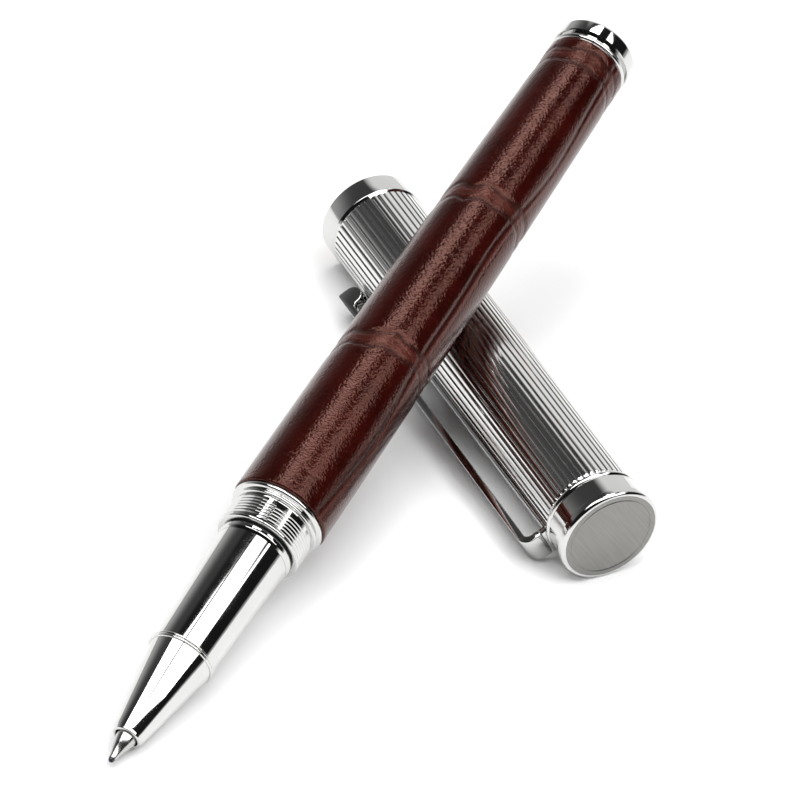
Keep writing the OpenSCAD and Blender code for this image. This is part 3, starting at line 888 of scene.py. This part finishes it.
class PEN_OT_grip(MakePiece, bpy.types.Operator):
    """Make the nose cone, the grip, their rings, the seal and the threaded tenon"""
    bl_idname = "pen.grip"
    bl_label = "Grip Section"

    def make(self, look):
        self.nose()
        self.ring("nose_ring", "double_bead_ring", True)
        self.grip()
        self.ring("grip_ring", "grip_end_ring", False)
        self.seal()
        self.tenon()

    def nose(self):
        node = "nose_cone"
        low = pen.start(node)
        high = pen.end(node)
        rear = pen.start("nose_ring")
        lip_bore = pen.bore(node, low)
        bore = pen.bore(node, high)
        tenon = pen.outer(node, high)
        rear_r = pen.outer(node, rear)
        lip_r = pen.outer(node, low + 0.1 * MM)
        lip_end = pen.heights(node, lip_bore)[1]
        cone_end = pen.heights(node, bore)[0]
        cone_bore = pen.outer(node, lip_end)
        slope = (rear_r - lip_r) / (rear - low)
        outline = [(lip_bore, low + 0.06 * MM), (lip_bore + 0.06 * MM, low)]
        outline += arc(lip_r - 0.17 * MM, low + 0.17 * MM, 0.17 * MM, -80, 10, 5)
        outline += [(lip_r + slope * 0.55 * MM - 0.05 * MM, low + 0.42 * MM)]
        outline += [(lip_r + slope * 0.8 * MM, low + 0.62 * MM)]
        outline += [(rear_r, rear), (tenon, rear), (tenon, high), (bore, high), (bore, cone_end)]
        outline += [(cone_bore, lip_end), (lip_bore, lip_end)]
        put(turned("nose_shell", outline), pen, chrome, node)

    def ring(self, node, name, double):
        low = pen.start(node)
        high = pen.end(node)
        outer = pen.outer(node)
        bore = pen.bore(node)
        foot = pen.outer(node, low)
        if double:
            bead = (high - low) / 4
            outline = [(bore, low), (outer - bead, low)]
            for centre in (low + bead, high - bead):
                outline += arc(outer - bead, centre, bead, -70, 70, 8)
            outline += [(outer - bead, high), (bore, high)]
        else:
            outline = [(bore, low), (foot, low)]
            outline += arc(outer - 0.16 * MM, low + 0.34 * MM, 0.16 * MM, -45, 0, 4)
            outline += arc(outer - 0.16 * MM, high - 0.16 * MM, 0.16 * MM, 0, 80, 5)
            outline += [(bore, high)]
        put(turned(name, outline), pen, chrome, node)

    def grip(self):
        node = "grip_sleeve"
        low = pen.start(node)
        high = pen.end(node)
        front_bore = pen.bore(node, low)
        rear_bore = pen.bore(node, high)
        step = pen.heights(node, rear_bore)[0]
        front = pen.outer(node, low)
        rear = pen.outer(node, high)
        ease = 0.06 * MM
        outline = [(front_bore, low), (front - ease, low), (front, low + ease)]
        outline += [(front + (rear - front) * i / 8, low + (high - low) * i / 8) for i in range(1, 8)]
        outline += [(rear, high - ease), (rear - ease, high)]
        outline += [(rear_bore, high), (rear_bore, step), (front_bore, step)]
        put(turned("polished_grip", outline), pen, chrome, node)

    def seal(self):
        node = "section_seal"
        low = pen.start(node)
        high = pen.end(node)
        half = (high - low) / 2
        outer = pen.outer(node)
        bore = pen.bore(node)
        outline = arc(outer - half, low + half, half, -90, 90, 8)
        outline += arc(bore + half, low + half, half, 90, 270, 6)
        put(turned("seal_ring", outline), pen, rubber, node)

    def tenon(self):
        node = "section_tenon"
        low = pen.start(node)
        high = pen.end(node)
        outer = pen.outer(node)
        bore = pen.bore(node)
        start = pen.end("section_seal") + 0.4 * MM
        depth = 0.26 * MM
        core = outer - depth
        outline = [(bore, low), (outer, low), (outer, start), (core, start + 0.15 * MM)]
        outline += [(core, high - 0.5 * MM), (core - 0.12 * MM, high), (bore, high)]
        body = turned("tenon_body", outline)
        ridge = thread("tenon_ridge", outer, start + 0.1 * MM, high - 0.4 * MM, 0.75 * MM, depth)
        put(join("threaded_tenon", body, ridge), pen, brass, node)


class PEN_OT_tip(MakePiece, bpy.types.Operator):
    """Make the refill's metal tip, which holds the writing ball"""
    bl_idname = "pen.tip"
    bl_label = "Refill Tip"

    def make(self, look):
        node = "refill_tip"
        low = pen.start(node)
        high = pen.end(node)
        bore = pen.bore(node, high)
        nose = pen.start("nose_cone")
        lip = pen.outer(node, low)
        cone = pen.outer(node, high)
        neck_end = low + 0.35 * MM
        step = nose - 1.35 * MM
        channel = 0.16 * MM
        bore_start = low + 1.5 * MM
        slope = (cone - lip) / (nose - low)
        mid = lip + slope * (step - low)
        outline = [(channel, low + 0.12 * MM), (ball_radius + 0.02 * MM, low)]
        outline += [(lip - 0.02 * MM, low), (lip, low + 0.04 * MM), (lip + 0.03 * MM, neck_end)]
        outline += [(mid - 0.04 * MM, step - 0.06 * MM), (mid, step), (cone, nose), (cone, high)]
        outline += [(bore, high), (bore, bore_start), (channel, bore_start - 0.2 * MM)]
        put(turned("steel_tip", outline, steps=96), pen, steel, node)


class PEN_OT_cap_tube(MakePiece, bpy.types.Operator):
    """Make the fluted tube of the cap"""
    bl_idname = "pen.cap_tube"
    bl_label = "Fluted Cap Tube"
    bl_options = {"REGISTER", "UNDO"}
    parts = 12            # corners of one flute
    land = 0.67           # share of a rib that is its rounded land
    crown = 0.13          # fall of the land's edges, as a share of the groove's depth

    def make(self, look):
        node = "cap_tube"
        low = cap.start(node)
        high = cap.end(node)
        top_r = cap.outer(node, low, 0.01 * MM)
        mouth_r = cap.outer(node, high, 0.01 * MM)
        top_bore = cap.bore(node, low)
        mouth_bore = cap.bore(node, high)
        step = cap.start("thread_bush")
        tuck = 0.5 * MM
        rise = (mouth_r - top_r) / (high - low)
        rings = [(low, -look.groove_depth, 0.0)]
        for share in (0.3, 0.55, 0.8, 1.0):
            height = low + tuck * share
            rings.append((height, rise * tuck * share, (1 - (1 - share) ** 2) ** 0.5))
        rings += [(low + (high - low) * i / 10, rise * (high - low) * i / 10, 1.0) for i in range(1, 11)]
        tube = self.ribbed(top_r, rings, look)
        with editing(tube):
            self.pick(tube, high)
            for height, radius in ((high, mouth_bore), (step, mouth_bore), (step, top_bore), (low, top_bore)):
                self.extend(tube, height, radius)
            bpy.ops.mesh.select_all(action="SELECT")
            bpy.ops.mesh.remove_doubles(threshold=MERGE)
        self.close_top(tube, top_bore)
        self.mark_grooves(tube, look)
        self.cut_slot(tube, low)
        put(tube, cap, fluted_plate, node, smooth_angle=radians(38))

    def depth(self, index):
        """How far a corner of the flutes lies below the ribs' crests, as a share of the groove's depth."""
        place = abs(((index / self.parts) % 1.0) - 0.5) * 2
        if place < self.land:
            return self.crown * (place / self.land) ** 2
        return self.crown + (1 - self.crown) * (place - self.land) / (1 - self.land)

    def ribbed(self, radius, rings, look):
        """A ring of ribs, extruded along the tube: each ring has a height, a growth and its ribs' relief."""
        count = look.flute_count * self.parts
        deselect()
        bpy.ops.mesh.primitive_circle_add(vertices=count, radius=radius, location=(0, 0, 0))
        tube = bpy.context.object
        tube.name = "fluted_tube"
        with editing(tube):
            bpy.ops.mesh.select_all(action="SELECT")
            bpy.ops.transform.translate(value=(0, 0, rings[0][0]))
            for (z0, _, _), (z1, _, _) in zip(rings, rings[1:]):
                bpy.ops.mesh.extrude_edges_move(TRANSFORM_OT_translate={"value": (0, 0, z1 - z0)})
        mesh = tube.data
        heights = np.array([r[0] for r in rings])
        growth = np.array([r[1] for r in rings])
        relief = np.array([r[2] for r in rings])
        for vertex in mesh.vertices:
            turn = atan2(vertex.co.y, vertex.co.x) / (2 * pi) * count
            index = round(turn) % self.parts
            grow = float(np.interp(vertex.co.z, heights, growth))
            share = float(np.interp(vertex.co.z, heights, relief))
            sunk = look.groove_depth * (1 - share * (1 - self.depth(index)))
            if share == 0.0:
                sunk = look.groove_depth
                grow = 0.0
            reach = radius + grow - sunk
            vertex.co.x *= reach / radius
            vertex.co.y *= reach / radius
        return tube

    def pick(self, tube, height):
        """Selects the corners at one height."""
        bpy.ops.object.mode_set(mode="OBJECT")
        for vertex in tube.data.vertices:
            vertex.select = abs(vertex.co.z - height) < 0.01 * MM
        for edge in tube.data.edges:
            edge.select = all(tube.data.vertices[v].select for v in edge.vertices)
        bpy.ops.object.mode_set(mode="EDIT")

    def extend(self, tube, height, radius):
        """Extrudes the selected ring, then sets it at a height and a radius."""
        bpy.ops.mesh.extrude_edges_move(TRANSFORM_OT_translate={"value": (0, 0, 0)})
        bpy.ops.object.mode_set(mode="OBJECT")
        for vertex in tube.data.vertices:
            if vertex.select:
                reach = hypot(vertex.co.x, vertex.co.y)
                vertex.co = (vertex.co.x * radius / reach, vertex.co.y * radius / reach, height)
        bpy.ops.object.mode_set(mode="EDIT")

    def close_top(self, tube, bore):
        """Bridges the bore's end to the flutes' end."""
        with editing(tube):
            bpy.ops.mesh.select_non_manifold(extend=False)
            bpy.ops.mesh.bridge_edge_loops()
            bpy.ops.mesh.select_all(action="SELECT")
            bpy.ops.mesh.normals_make_consistent(inside=False)

    def mark_grooves(self, tube, look):
        """Notes on each point how deep it lies in a groove, for the painted shade and the rougher plating in
        it.
        """
        mesh = tube.data
        count = look.flute_count * self.parts
        values = []
        for vertex in mesh.vertices:
            turn = atan2(vertex.co.y, vertex.co.x) / (2 * pi) * count
            values.append(max(0.0, (self.depth(round(turn) % self.parts) - self.crown) / (1 - self.crown)))
        attribute = mesh.attributes.new("groove", "FLOAT", "POINT")
        attribute.data.foreach_set("value", values)

    def cut_slot(self, tube, low):
        """Cuts the notch for the clip's tab."""
        inverse = clip_line.matrix.inverted()
        corners = [inverse @ v.co for v in frame["nodes"]["clip_plate"].data.vertices]
        reach = max(c.x for c in corners)
        half = max(abs(c.y) for c in corners if c.x > reach - 0.05 * MM) + 0.05 * MM
        deep = clip_line.end("clip_plate") - low + 0.15 * MM
        deselect()
        bpy.ops.mesh.primitive_cube_add(size=1)
        cutter = bpy.context.object
        cutter.scale = (reach, 2 * half, 2 * deep)
        cutter.location = (reach, 0, low)
        turn = cap.matrix.inverted() @ clip_line.matrix
        cutter.matrix_world = turn @ Matrix.LocRotScale(cutter.location, None, cutter.scale)
        bpy.ops.object.transform_apply(location=True, rotation=True, scale=True)
        apply_modifier(tube, "BOOLEAN", object=cutter, operation="DIFFERENCE", solver="EXACT")
        bpy.data.objects.remove(cutter)


class PEN_OT_cap_rings(MakePiece, bpy.types.Operator):
    """Make the cap's mouth ring, bead ring and neck band"""
    bl_idname = "pen.cap_rings"
    bl_label = "Cap Rings"

    def make(self, look):
        self.mouth()
        self.bead()
        self.neck()

    def mouth(self):
        node = "mouth_ring"
        low = cap.start(node)
        high = cap.end(node)
        outer = cap.outer(node)
        bore = cap.bore(node)
        seat = cap.bore(node, high)
        seat_low = cap.heights(node, seat)[0]
        foot = cap.outer(node, low)
        bevel_high = low + 0.42 * MM
        outline = [(bore, low), (foot, low)]
        outline += arc(outer - 0.14 * MM, bevel_high + 0.04 * MM, 0.14 * MM, -45, 0, 4)
        outline += arc(outer - 0.2 * MM, high - 0.2 * MM, 0.2 * MM, 0, 75, 6)
        outline += arc(seat + 0.1 * MM, high - 0.1 * MM, 0.1 * MM, 105, 180, 4)
        outline += [(seat, seat_low), (bore, seat_low)]
        put(turned("mouth_band", outline), cap, chrome, node)

    def bead(self):
        node = "bead_ring"
        low = cap.start(node)
        high = cap.end(node)
        outer = cap.outer(node)
        bore = cap.bore(node)
        half = (high - low) / 2
        outline = [(bore, low), (outer - half, low)]
        outline += arc(outer - half * 0.9, low + half, half * 0.9, -85, 85, 12)
        outline += [(outer - half, high), (bore, high)]
        put(turned("top_bead", outline), cap, chrome, node)

    def neck(self):
        node = "neck_band"
        low = cap.start(node)
        high = cap.end(node)
        outer = cap.outer(node)
        bore = cap.bore(node)
        outline = [(bore, low), (outer - 0.08 * MM, low), (outer, low + 0.08 * MM)]
        outline += [(outer, (low + high) / 2), (outer, high - 0.08 * MM)]
        outline += [(outer - 0.08 * MM, high), (bore, high)]
        put(turned("finial_neck", outline), cap, chrome, node)


class PEN_OT_finial(MakePiece, bpy.types.Operator):
    """Make the finial disc: a polished rounded rim around a brushed face with a plain engraved ring"""
    bl_idname = "pen.finial"
    bl_label = "Finial"

    def make(self, look):
        node = "finial_disc"
        low = cap.start(node)
        high = cap.end(node)
        outer = cap.outer(node)
        hole = cap.bore(node, high)
        floor = cap.heights(node, hole)[0]
        rim = 0.46 * MM
        groove = outer - 1.15 * MM
        half = 0.09 * MM
        deep = 0.05 * MM
        outline = [(0, low), (groove - half, low), (groove, low + deep), (groove + half, low)]
        outline += arc(outer - rim, low + rim, rim, -90, 0, 9)
        outline += [(outer, high - 0.16 * MM), (outer - 0.14 * MM, high)]
        outline += [(hole, high), (hole, floor), (0, floor)]
        disc = turned("finial_face", outline, closed=False)
        face = outer - rim - 0.02 * MM
        put(disc, cap, satin, node, smooth_angle=radians(25))
        disc.data.materials.append(chrome())
        inverse = cap.matrix.inverted()
        for polygon in disc.data.polygons:
            middle = inverse @ polygon.center
            if hypot(middle.x, middle.y) > face or middle.z > low + 0.3 * MM:
                polygon.material_index = 1


class PEN_OT_clip(MakePiece, bpy.types.Operator):
    """Make the clip, bent from one strip, and the plate that holds it"""
    bl_idname = "pen.clip"
    bl_label = "Clip"

    def make(self, look):
        self.strip()
        self.plate()

    def strip(self):
        """Draws the strip's side as an outline, fills it, gives it its width and rounds its edges."""
        inverse = clip_line.matrix.inverted()
        corners = [inverse @ v.co for v in frame["nodes"]["clip"].data.vertices]
        half = max(c.y for c in corners)
        outer = max(c.x for c in corners)
        inner = min(c.x for c in corners if c.z < clip_line.start("clip") + 3 * MM)
        low = min(c.z for c in corners)
        tip = max(c.z for c in corners)
        lug = min(c.x for c in corners if c.z > tip - 1.8 * MM)
        thick = 0.9 * MM
        bend = 0.7 * MM
        lug_r = 1.35 * MM
        knuckle = thick / 2
        centre_r = outer - thick - bend
        centre_z = low + thick + bend
        outline = [(outer, tip - 0.35 * MM), (outer, centre_z)]
        outline += arc(centre_r, centre_z, thick + bend, 0, -90, 14)
        outline += arc(inner + knuckle, low + knuckle, knuckle, 270, 90, 8)
        outline += arc(centre_r, centre_z, bend, -90, 0, 10)
        outline += [(outer - thick, tip - 2 * lug_r - 0.9 * MM)]
        outline += [(outer - thick - 0.06 * MM, tip - 2 * lug_r - 0.3 * MM)]
        outline += [(lug + lug_r + 0.1 * MM, tip - 2 * lug_r + 0.02 * MM)]
        outline += arc(lug + lug_r, tip - lug_r, lug_r, 260, 180, 6)[1:]
        outline += arc(lug + lug_r, tip - lug_r, lug_r, 180, 90, 7)[1:]
        outline += arc(outer - 0.35 * MM, tip - 0.35 * MM, 0.35 * MM, 90, 0, 4)[:-1]
        deselect()
        bpy.ops.mesh.primitive_plane_add(size=MM)
        strip = bpy.context.object
        strip.name = "clip_strip"
        with editing(strip):
            bpy.ops.mesh.select_all(action="SELECT")
            bpy.ops.mesh.merge(type="CENTER")
            bpy.ops.transform.translate(value=(outline[0][0], -half, outline[0][1]))
            for (r0, z0), (r1, z1) in zip(outline, outline[1:] + outline[:1]):
                bpy.ops.mesh.extrude_vertices_move(TRANSFORM_OT_translate={"value": (r1 - r0, 0, z1 - z0)})
            bpy.ops.mesh.select_all(action="SELECT")
            bpy.ops.mesh.remove_doubles(threshold=MERGE)
            bpy.ops.mesh.select_all(action="SELECT")
            bpy.ops.mesh.edge_face_add()
            bpy.ops.mesh.extrude_region_move(TRANSFORM_OT_translate={"value": (0, 2 * half, 0)})
            bpy.ops.mesh.select_all(action="SELECT")
            bpy.ops.mesh.normals_make_consistent(inside=False)
        soften(strip, 0.11 * MM, 3, radians(50))
        put(strip, clip_line, chrome, "clip", smooth_angle=radians(40))

    def plate(self):
        """The plate: a round disc with a tab for the clip."""
        node = "clip_plate"
        inverse = clip_line.matrix.inverted()
        corners = [inverse @ v.co for v in frame["nodes"][node].data.vertices]
        reach = max(c.x for c in corners)
        half = max(abs(c.y) for c in corners if c.x > reach - 0.05 * MM)
        low = clip_line.start(node)
        high = clip_line.end(node)
        bore = clip_line.bore(node)
        radius = max(hypot(c.x, c.y) for c in corners if c.x < 0)
        disc = turned("plate_disc", [(bore, low), (radius, low), (radius, high), (bore, high)])
        deselect()
        start = radius * 0.85
        bpy.ops.mesh.primitive_cube_add(size=1, location=((start + reach) / 2, 0, (low + high) / 2))
        tab = bpy.context.object
        tab.scale = (reach - start, 2 * half, high - low)
        bpy.ops.object.transform_apply(location=True, rotation=True, scale=True)
        apply_modifier(disc, "BOOLEAN", object=tab, operation="UNION", solver="EXACT")
        bpy.data.objects.remove(tab)
        soften(disc, 0.06 * MM, 2, radians(50))
        put(disc, clip_line, chrome, node)


class PEN_OT_cap_inside(MakePiece, bpy.types.Operator):
    """Make what shows through the cap's mouth: the threaded bush and the inner cap"""
    bl_idname = "pen.cap_inside"
    bl_label = "Inside of the Cap"

    def make(self, look):
        self.bush()
        self.liner()

    def bush(self):
        node = "thread_bush"
        low = cap.start(node)
        high = cap.end(node)
        outer = cap.outer(node)
        bore = cap.bore(node)
        pitch = 0.45 * MM
        deep = 0.14 * MM
        turns = int((high - low - 0.8 * MM) / pitch)
        first = (low + high - turns * pitch) / 2
        outline = [(outer, low), (outer, high), (bore + 0.2 * MM, high), (bore, high - 0.25 * MM)]
        for index in reversed(range(turns)):
            start = first + index * pitch
            outline += [(bore, start + 0.8 * pitch), (bore + deep, start + 0.5 * pitch)]
            outline += [(bore, start + 0.2 * pitch)]
        outline += [(bore, low)]
        put(turned("threaded_bush", outline), cap, brass, node)

    def liner(self):
        node = "inner_cap"
        low = cap.start(node)
        high = cap.end(node)
        outer = cap.outer(node)
        bore = cap.bore(node, high)
        floor = cap.heights(node, bore)[0]
        ease = 0.15 * MM
        outline = [(0, low), (outer - ease, low), (outer, low + ease)]
        outline += [(outer, high - ease), (outer - ease, high)]
        outline += [(bore + ease, high), (bore, high - ease)]
        outline += arc(bore - 0.8 * MM, floor + 0.8 * MM, 0.8 * MM, 0, -90, 5) + [(0, floor)]
        put(turned("cap_liner", outline, closed=False), cap, liner_plastic, node)


class PEN_OT_spring(MakePiece, bpy.types.Operator):
    """Make the spring behind the refill, which gives when the refill is pushed in"""
    bl_idname = "pen.spring"
    bl_label = "Spring"

    def make(self, look):
        node = "refill_spring"
        low = pen.start(node)
        high = pen.end(node)
        outer = pen.outer(node)
        wire_r = (outer - pen.bore(node)) / 2
        deselect()
        bpy.ops.mesh.primitive_circle_add(vertices=12, radius=wire_r, fill_type="NOTHING",
                                          rotation=(pi / 2, 0, 0), location=(outer - wire_r, 0, low + wire_r))
        spring = bpy.context.object
        spring.name = "refill_coil"
        bpy.ops.object.transform_apply(location=True, rotation=True, scale=True)
        rise = (high - low - 2 * wire_r) / look.spring_turns
        apply_modifier(spring, "SCREW", angle=2 * pi, screw_offset=rise, iterations=look.spring_turns,
                       steps=32, render_steps=32, use_merge_vertices=False)
        with editing(spring):
            bpy.ops.mesh.select_mode(type="EDGE")
            bpy.ops.mesh.select_non_manifold(extend=False)
            bpy.ops.mesh.edge_face_add()
        with editing(spring):
            bpy.ops.mesh.select_all(action="SELECT")
            bpy.ops.mesh.normals_make_consistent(inside=False)
        put(spring, pen, wire, node, smooth_angle=radians(50))
        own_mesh(spring)


class PEN_OT_carried_over(MakePiece, bpy.types.Operator):
    """Give the pieces that come from the frame as they are their materials"""
    bl_idname = "pen.carried_over"
    bl_label = "Inner Pieces"

    def make(self, look):
        finishes = {
            "writing_ball": carbide, "refill_holder": black_plastic,
            "ink_feed": fibre, "ink_reservoir": fibre,
            "refill_tube": steel, "refill_end_plug": black_plastic, "barrel_tube": brass,
            "cap_top_plug": brass, "finial_screw": wire,
        }
        for name, material in finishes.items():
            node = frame["nodes"][name]
            node.data.materials.clear()
            node.data.materials.append(material())


# ---- Stage ----

BOX_HEIGHT = 0.7     # metres from the floor to the soft boxes, which hang level
BOX_TURN = -45.0     # degrees from +X to the boxes' long side
SOFT_BOXES = (       # from and to along the long side, from and to across it, in heights, and the brightness
    (-0.70, -0.02, -0.50, 0.20, 3.9),
    (0.04, 1.75, -0.50, 0.20, 3.9),
    (0.92, 1.12, 0.20, 0.32, 3.9),
    (0.52, 0.95, 0.32, 0.70, 3.4),
    (-0.28, 0.14, 0.34, 0.70, 5.4),
)


class PEN_OT_stage(bpy.types.Operator):
    """Make the pale floor, the soft light and the camera"""
    bl_idname = "pen.stage"
    bl_label = "Stage"
    bl_options = {"REGISTER", "UNDO"}

    def execute(self, context):
        stage = context.scene.pen_stage
        self.floor()
        self.boxes(stage)
        self.studio(context.scene, stage)
        self.camera(context.scene, stage)
        return {"FINISHED"}

    def floor(self):
        deselect()
        bpy.ops.mesh.primitive_circle_add(vertices=64, radius=4.0, fill_type="NGON", location=(0, 0, 0))
        floor = bpy.context.object
        floor.name = "floor"
        floor.data.materials.append(floor_paper())

    def boxes(self, stage):
        turn = Matrix.Rotation(radians(BOX_TURN), 4, "Z")
        for index, (x0, x1, y0, y1, bright) in enumerate(SOFT_BOXES):
            light = bpy.data.lights.new(f"soft_box_{index + 1}", "AREA")
            light.shape = "RECTANGLE"
            light.size = (x1 - x0) * BOX_HEIGHT
            light.size_y = (y1 - y0) * BOX_HEIGHT
            light.energy = stage.light * bright * pi * light.size * light.size_y
            box = bpy.data.objects.new(light.name, light)
            centre = Vector(((x0 + x1) / 2, (y0 + y1) / 2, 1.0)) * BOX_HEIGHT
            box.matrix_world = turn @ Matrix.Translation(centre)
            bpy.context.scene.collection.objects.link(box)

    def studio(self, scene, stage):
        """Dark walls, a lit table that fades into them, and a white sweep behind the pen."""
        world = bpy.data.worlds.new("studio")
        scene.world = world
        shader = Shader(world)
        direction = shader.node("ShaderNodeTexCoord").outputs["Generated"]
        way = shader.node("ShaderNodeSeparateXYZ", None, direction)
        x = Number(shader, way.outputs[0])
        y = Number(shader, way.outputs[1])
        z = Number(shader, way.outputs[2])
        flat = (x * x + y * y + 0.0001) ** 0.5

        def towards(heading):
            return (x * cos(radians(heading)) + y * sin(radians(heading))) / flat

        sweep = shader.between(towards(42.0), 0.75, 0.93) * shader.between(z, 0.66, 0.8, 1.0, 0.0) * 0.95
        fade = shader.between(z, 0.05, 0.75, 1.0, 0.0) ** 1.5 * 0.45 + 0.05
        wall = shader.between(towards(84.0), 0.25, 0.8) * shader.between(z, 0.75, 0.9, 1.0, 0.0) * fade
        table = shader.between(z, 0.02, 0.13, 1.0, 0.0) * 0.5
        bright = sweep.maths("MAXIMUM", wall).maths("MAXIMUM", table) * stage.backdrop + 0.012
        colour = shader.node("ShaderNodeCombineColor", None, bright, bright, bright)
        lit = shader.node("ShaderNodeBackground", None, colour.outputs[0])
        fill = shader.node("ShaderNodeBackground", None, (1.0, 1.0, 1.0, 1.0), stage.fill)
        plain = shader.node("ShaderNodeBackground", None, (0.95, 0.95, 0.95, 1.0))
        ray = shader.node("ShaderNodeLightPath").outputs
        inside = shader.node("ShaderNodeMixShader", None, ray["Is Diffuse Ray"],
                             lit.outputs[0], fill.outputs[0])
        both = shader.node("ShaderNodeMixShader", None, ray["Is Camera Ray"],
                           inside.outputs[0], plain.outputs[0])
        shader.node("ShaderNodeOutputWorld", None, Surface=both.outputs[0])

    def camera(self, scene, stage):
        turn = stage.heading
        down = stage.elevation
        look = Vector((cos(down) * cos(turn), cos(down) * sin(turn), -sin(down)))
        level = Vector((sin(turn), -cos(turn), 0))
        rise = level.cross(look)
        right = level * cos(stage.roll) + rise * sin(stage.roll)
        up = right.cross(look)
        data = bpy.data.cameras.new("camera")
        data.lens = stage.lens
        data.sensor_width = 36.0
        data.clip_start = 0.01
        data.clip_end = 20.0
        camera = bpy.data.objects.new("camera", data)
        matrix = Matrix((right, up, -look)).transposed().to_4x4()
        below_finial = Vector((cap.matrix.translation.x, cap.matrix.translation.y, 0))
        matrix.translation = below_finial + Vector(stage.aim) - look * stage.distance
        camera.matrix_world = matrix
        scene.collection.objects.link(camera)
        scene.camera = camera
        scene.view_settings.view_transform = "Standard"


OPERATORS = (
    PEN_OT_stage, PEN_OT_leather, PEN_OT_barrel_metal, PEN_OT_grip, PEN_OT_tip, PEN_OT_cap_tube,
    PEN_OT_cap_rings, PEN_OT_finial, PEN_OT_clip, PEN_OT_cap_inside, PEN_OT_spring, PEN_OT_carried_over,
)


class PEN_PT_panel(bpy.types.Panel):
    """Lists the pen's pieces and finishes"""
    bl_label = "Rollerball Pen"
    bl_idname = "PEN_PT_panel"
    bl_space_type = "VIEW_3D"
    bl_region_type = "UI"
    bl_category = "Pen"

    def draw(self, context):
        for settings in (context.scene.pen_looks, context.scene.pen_stage):
            box = self.layout.box()
            for name in settings.__annotations__:
                box.prop(settings, name)
        for operator in OPERATORS:
            self.layout.operator(operator.bl_idname)


CLASSES = (PenLooks, PenStage) + OPERATORS + (PEN_PT_panel,)


def register():
    for item in CLASSES:
        bpy.utils.register_class(item)
    bpy.types.Scene.pen_looks = bpy.props.PointerProperty(type=PenLooks)
    bpy.types.Scene.pen_stage = bpy.props.PointerProperty(type=PenStage)


def unregister():
    del bpy.types.Scene.pen_stage
    del bpy.types.Scene.pen_looks
    for item in reversed(CLASSES):
        bpy.utils.unregister_class(item)


def main():
    register()
    for operator in OPERATORS:
        group, name = operator.bl_idname.split(".")
        getattr(getattr(bpy.ops, group), name)()


if __name__ == "__main__":
    main()
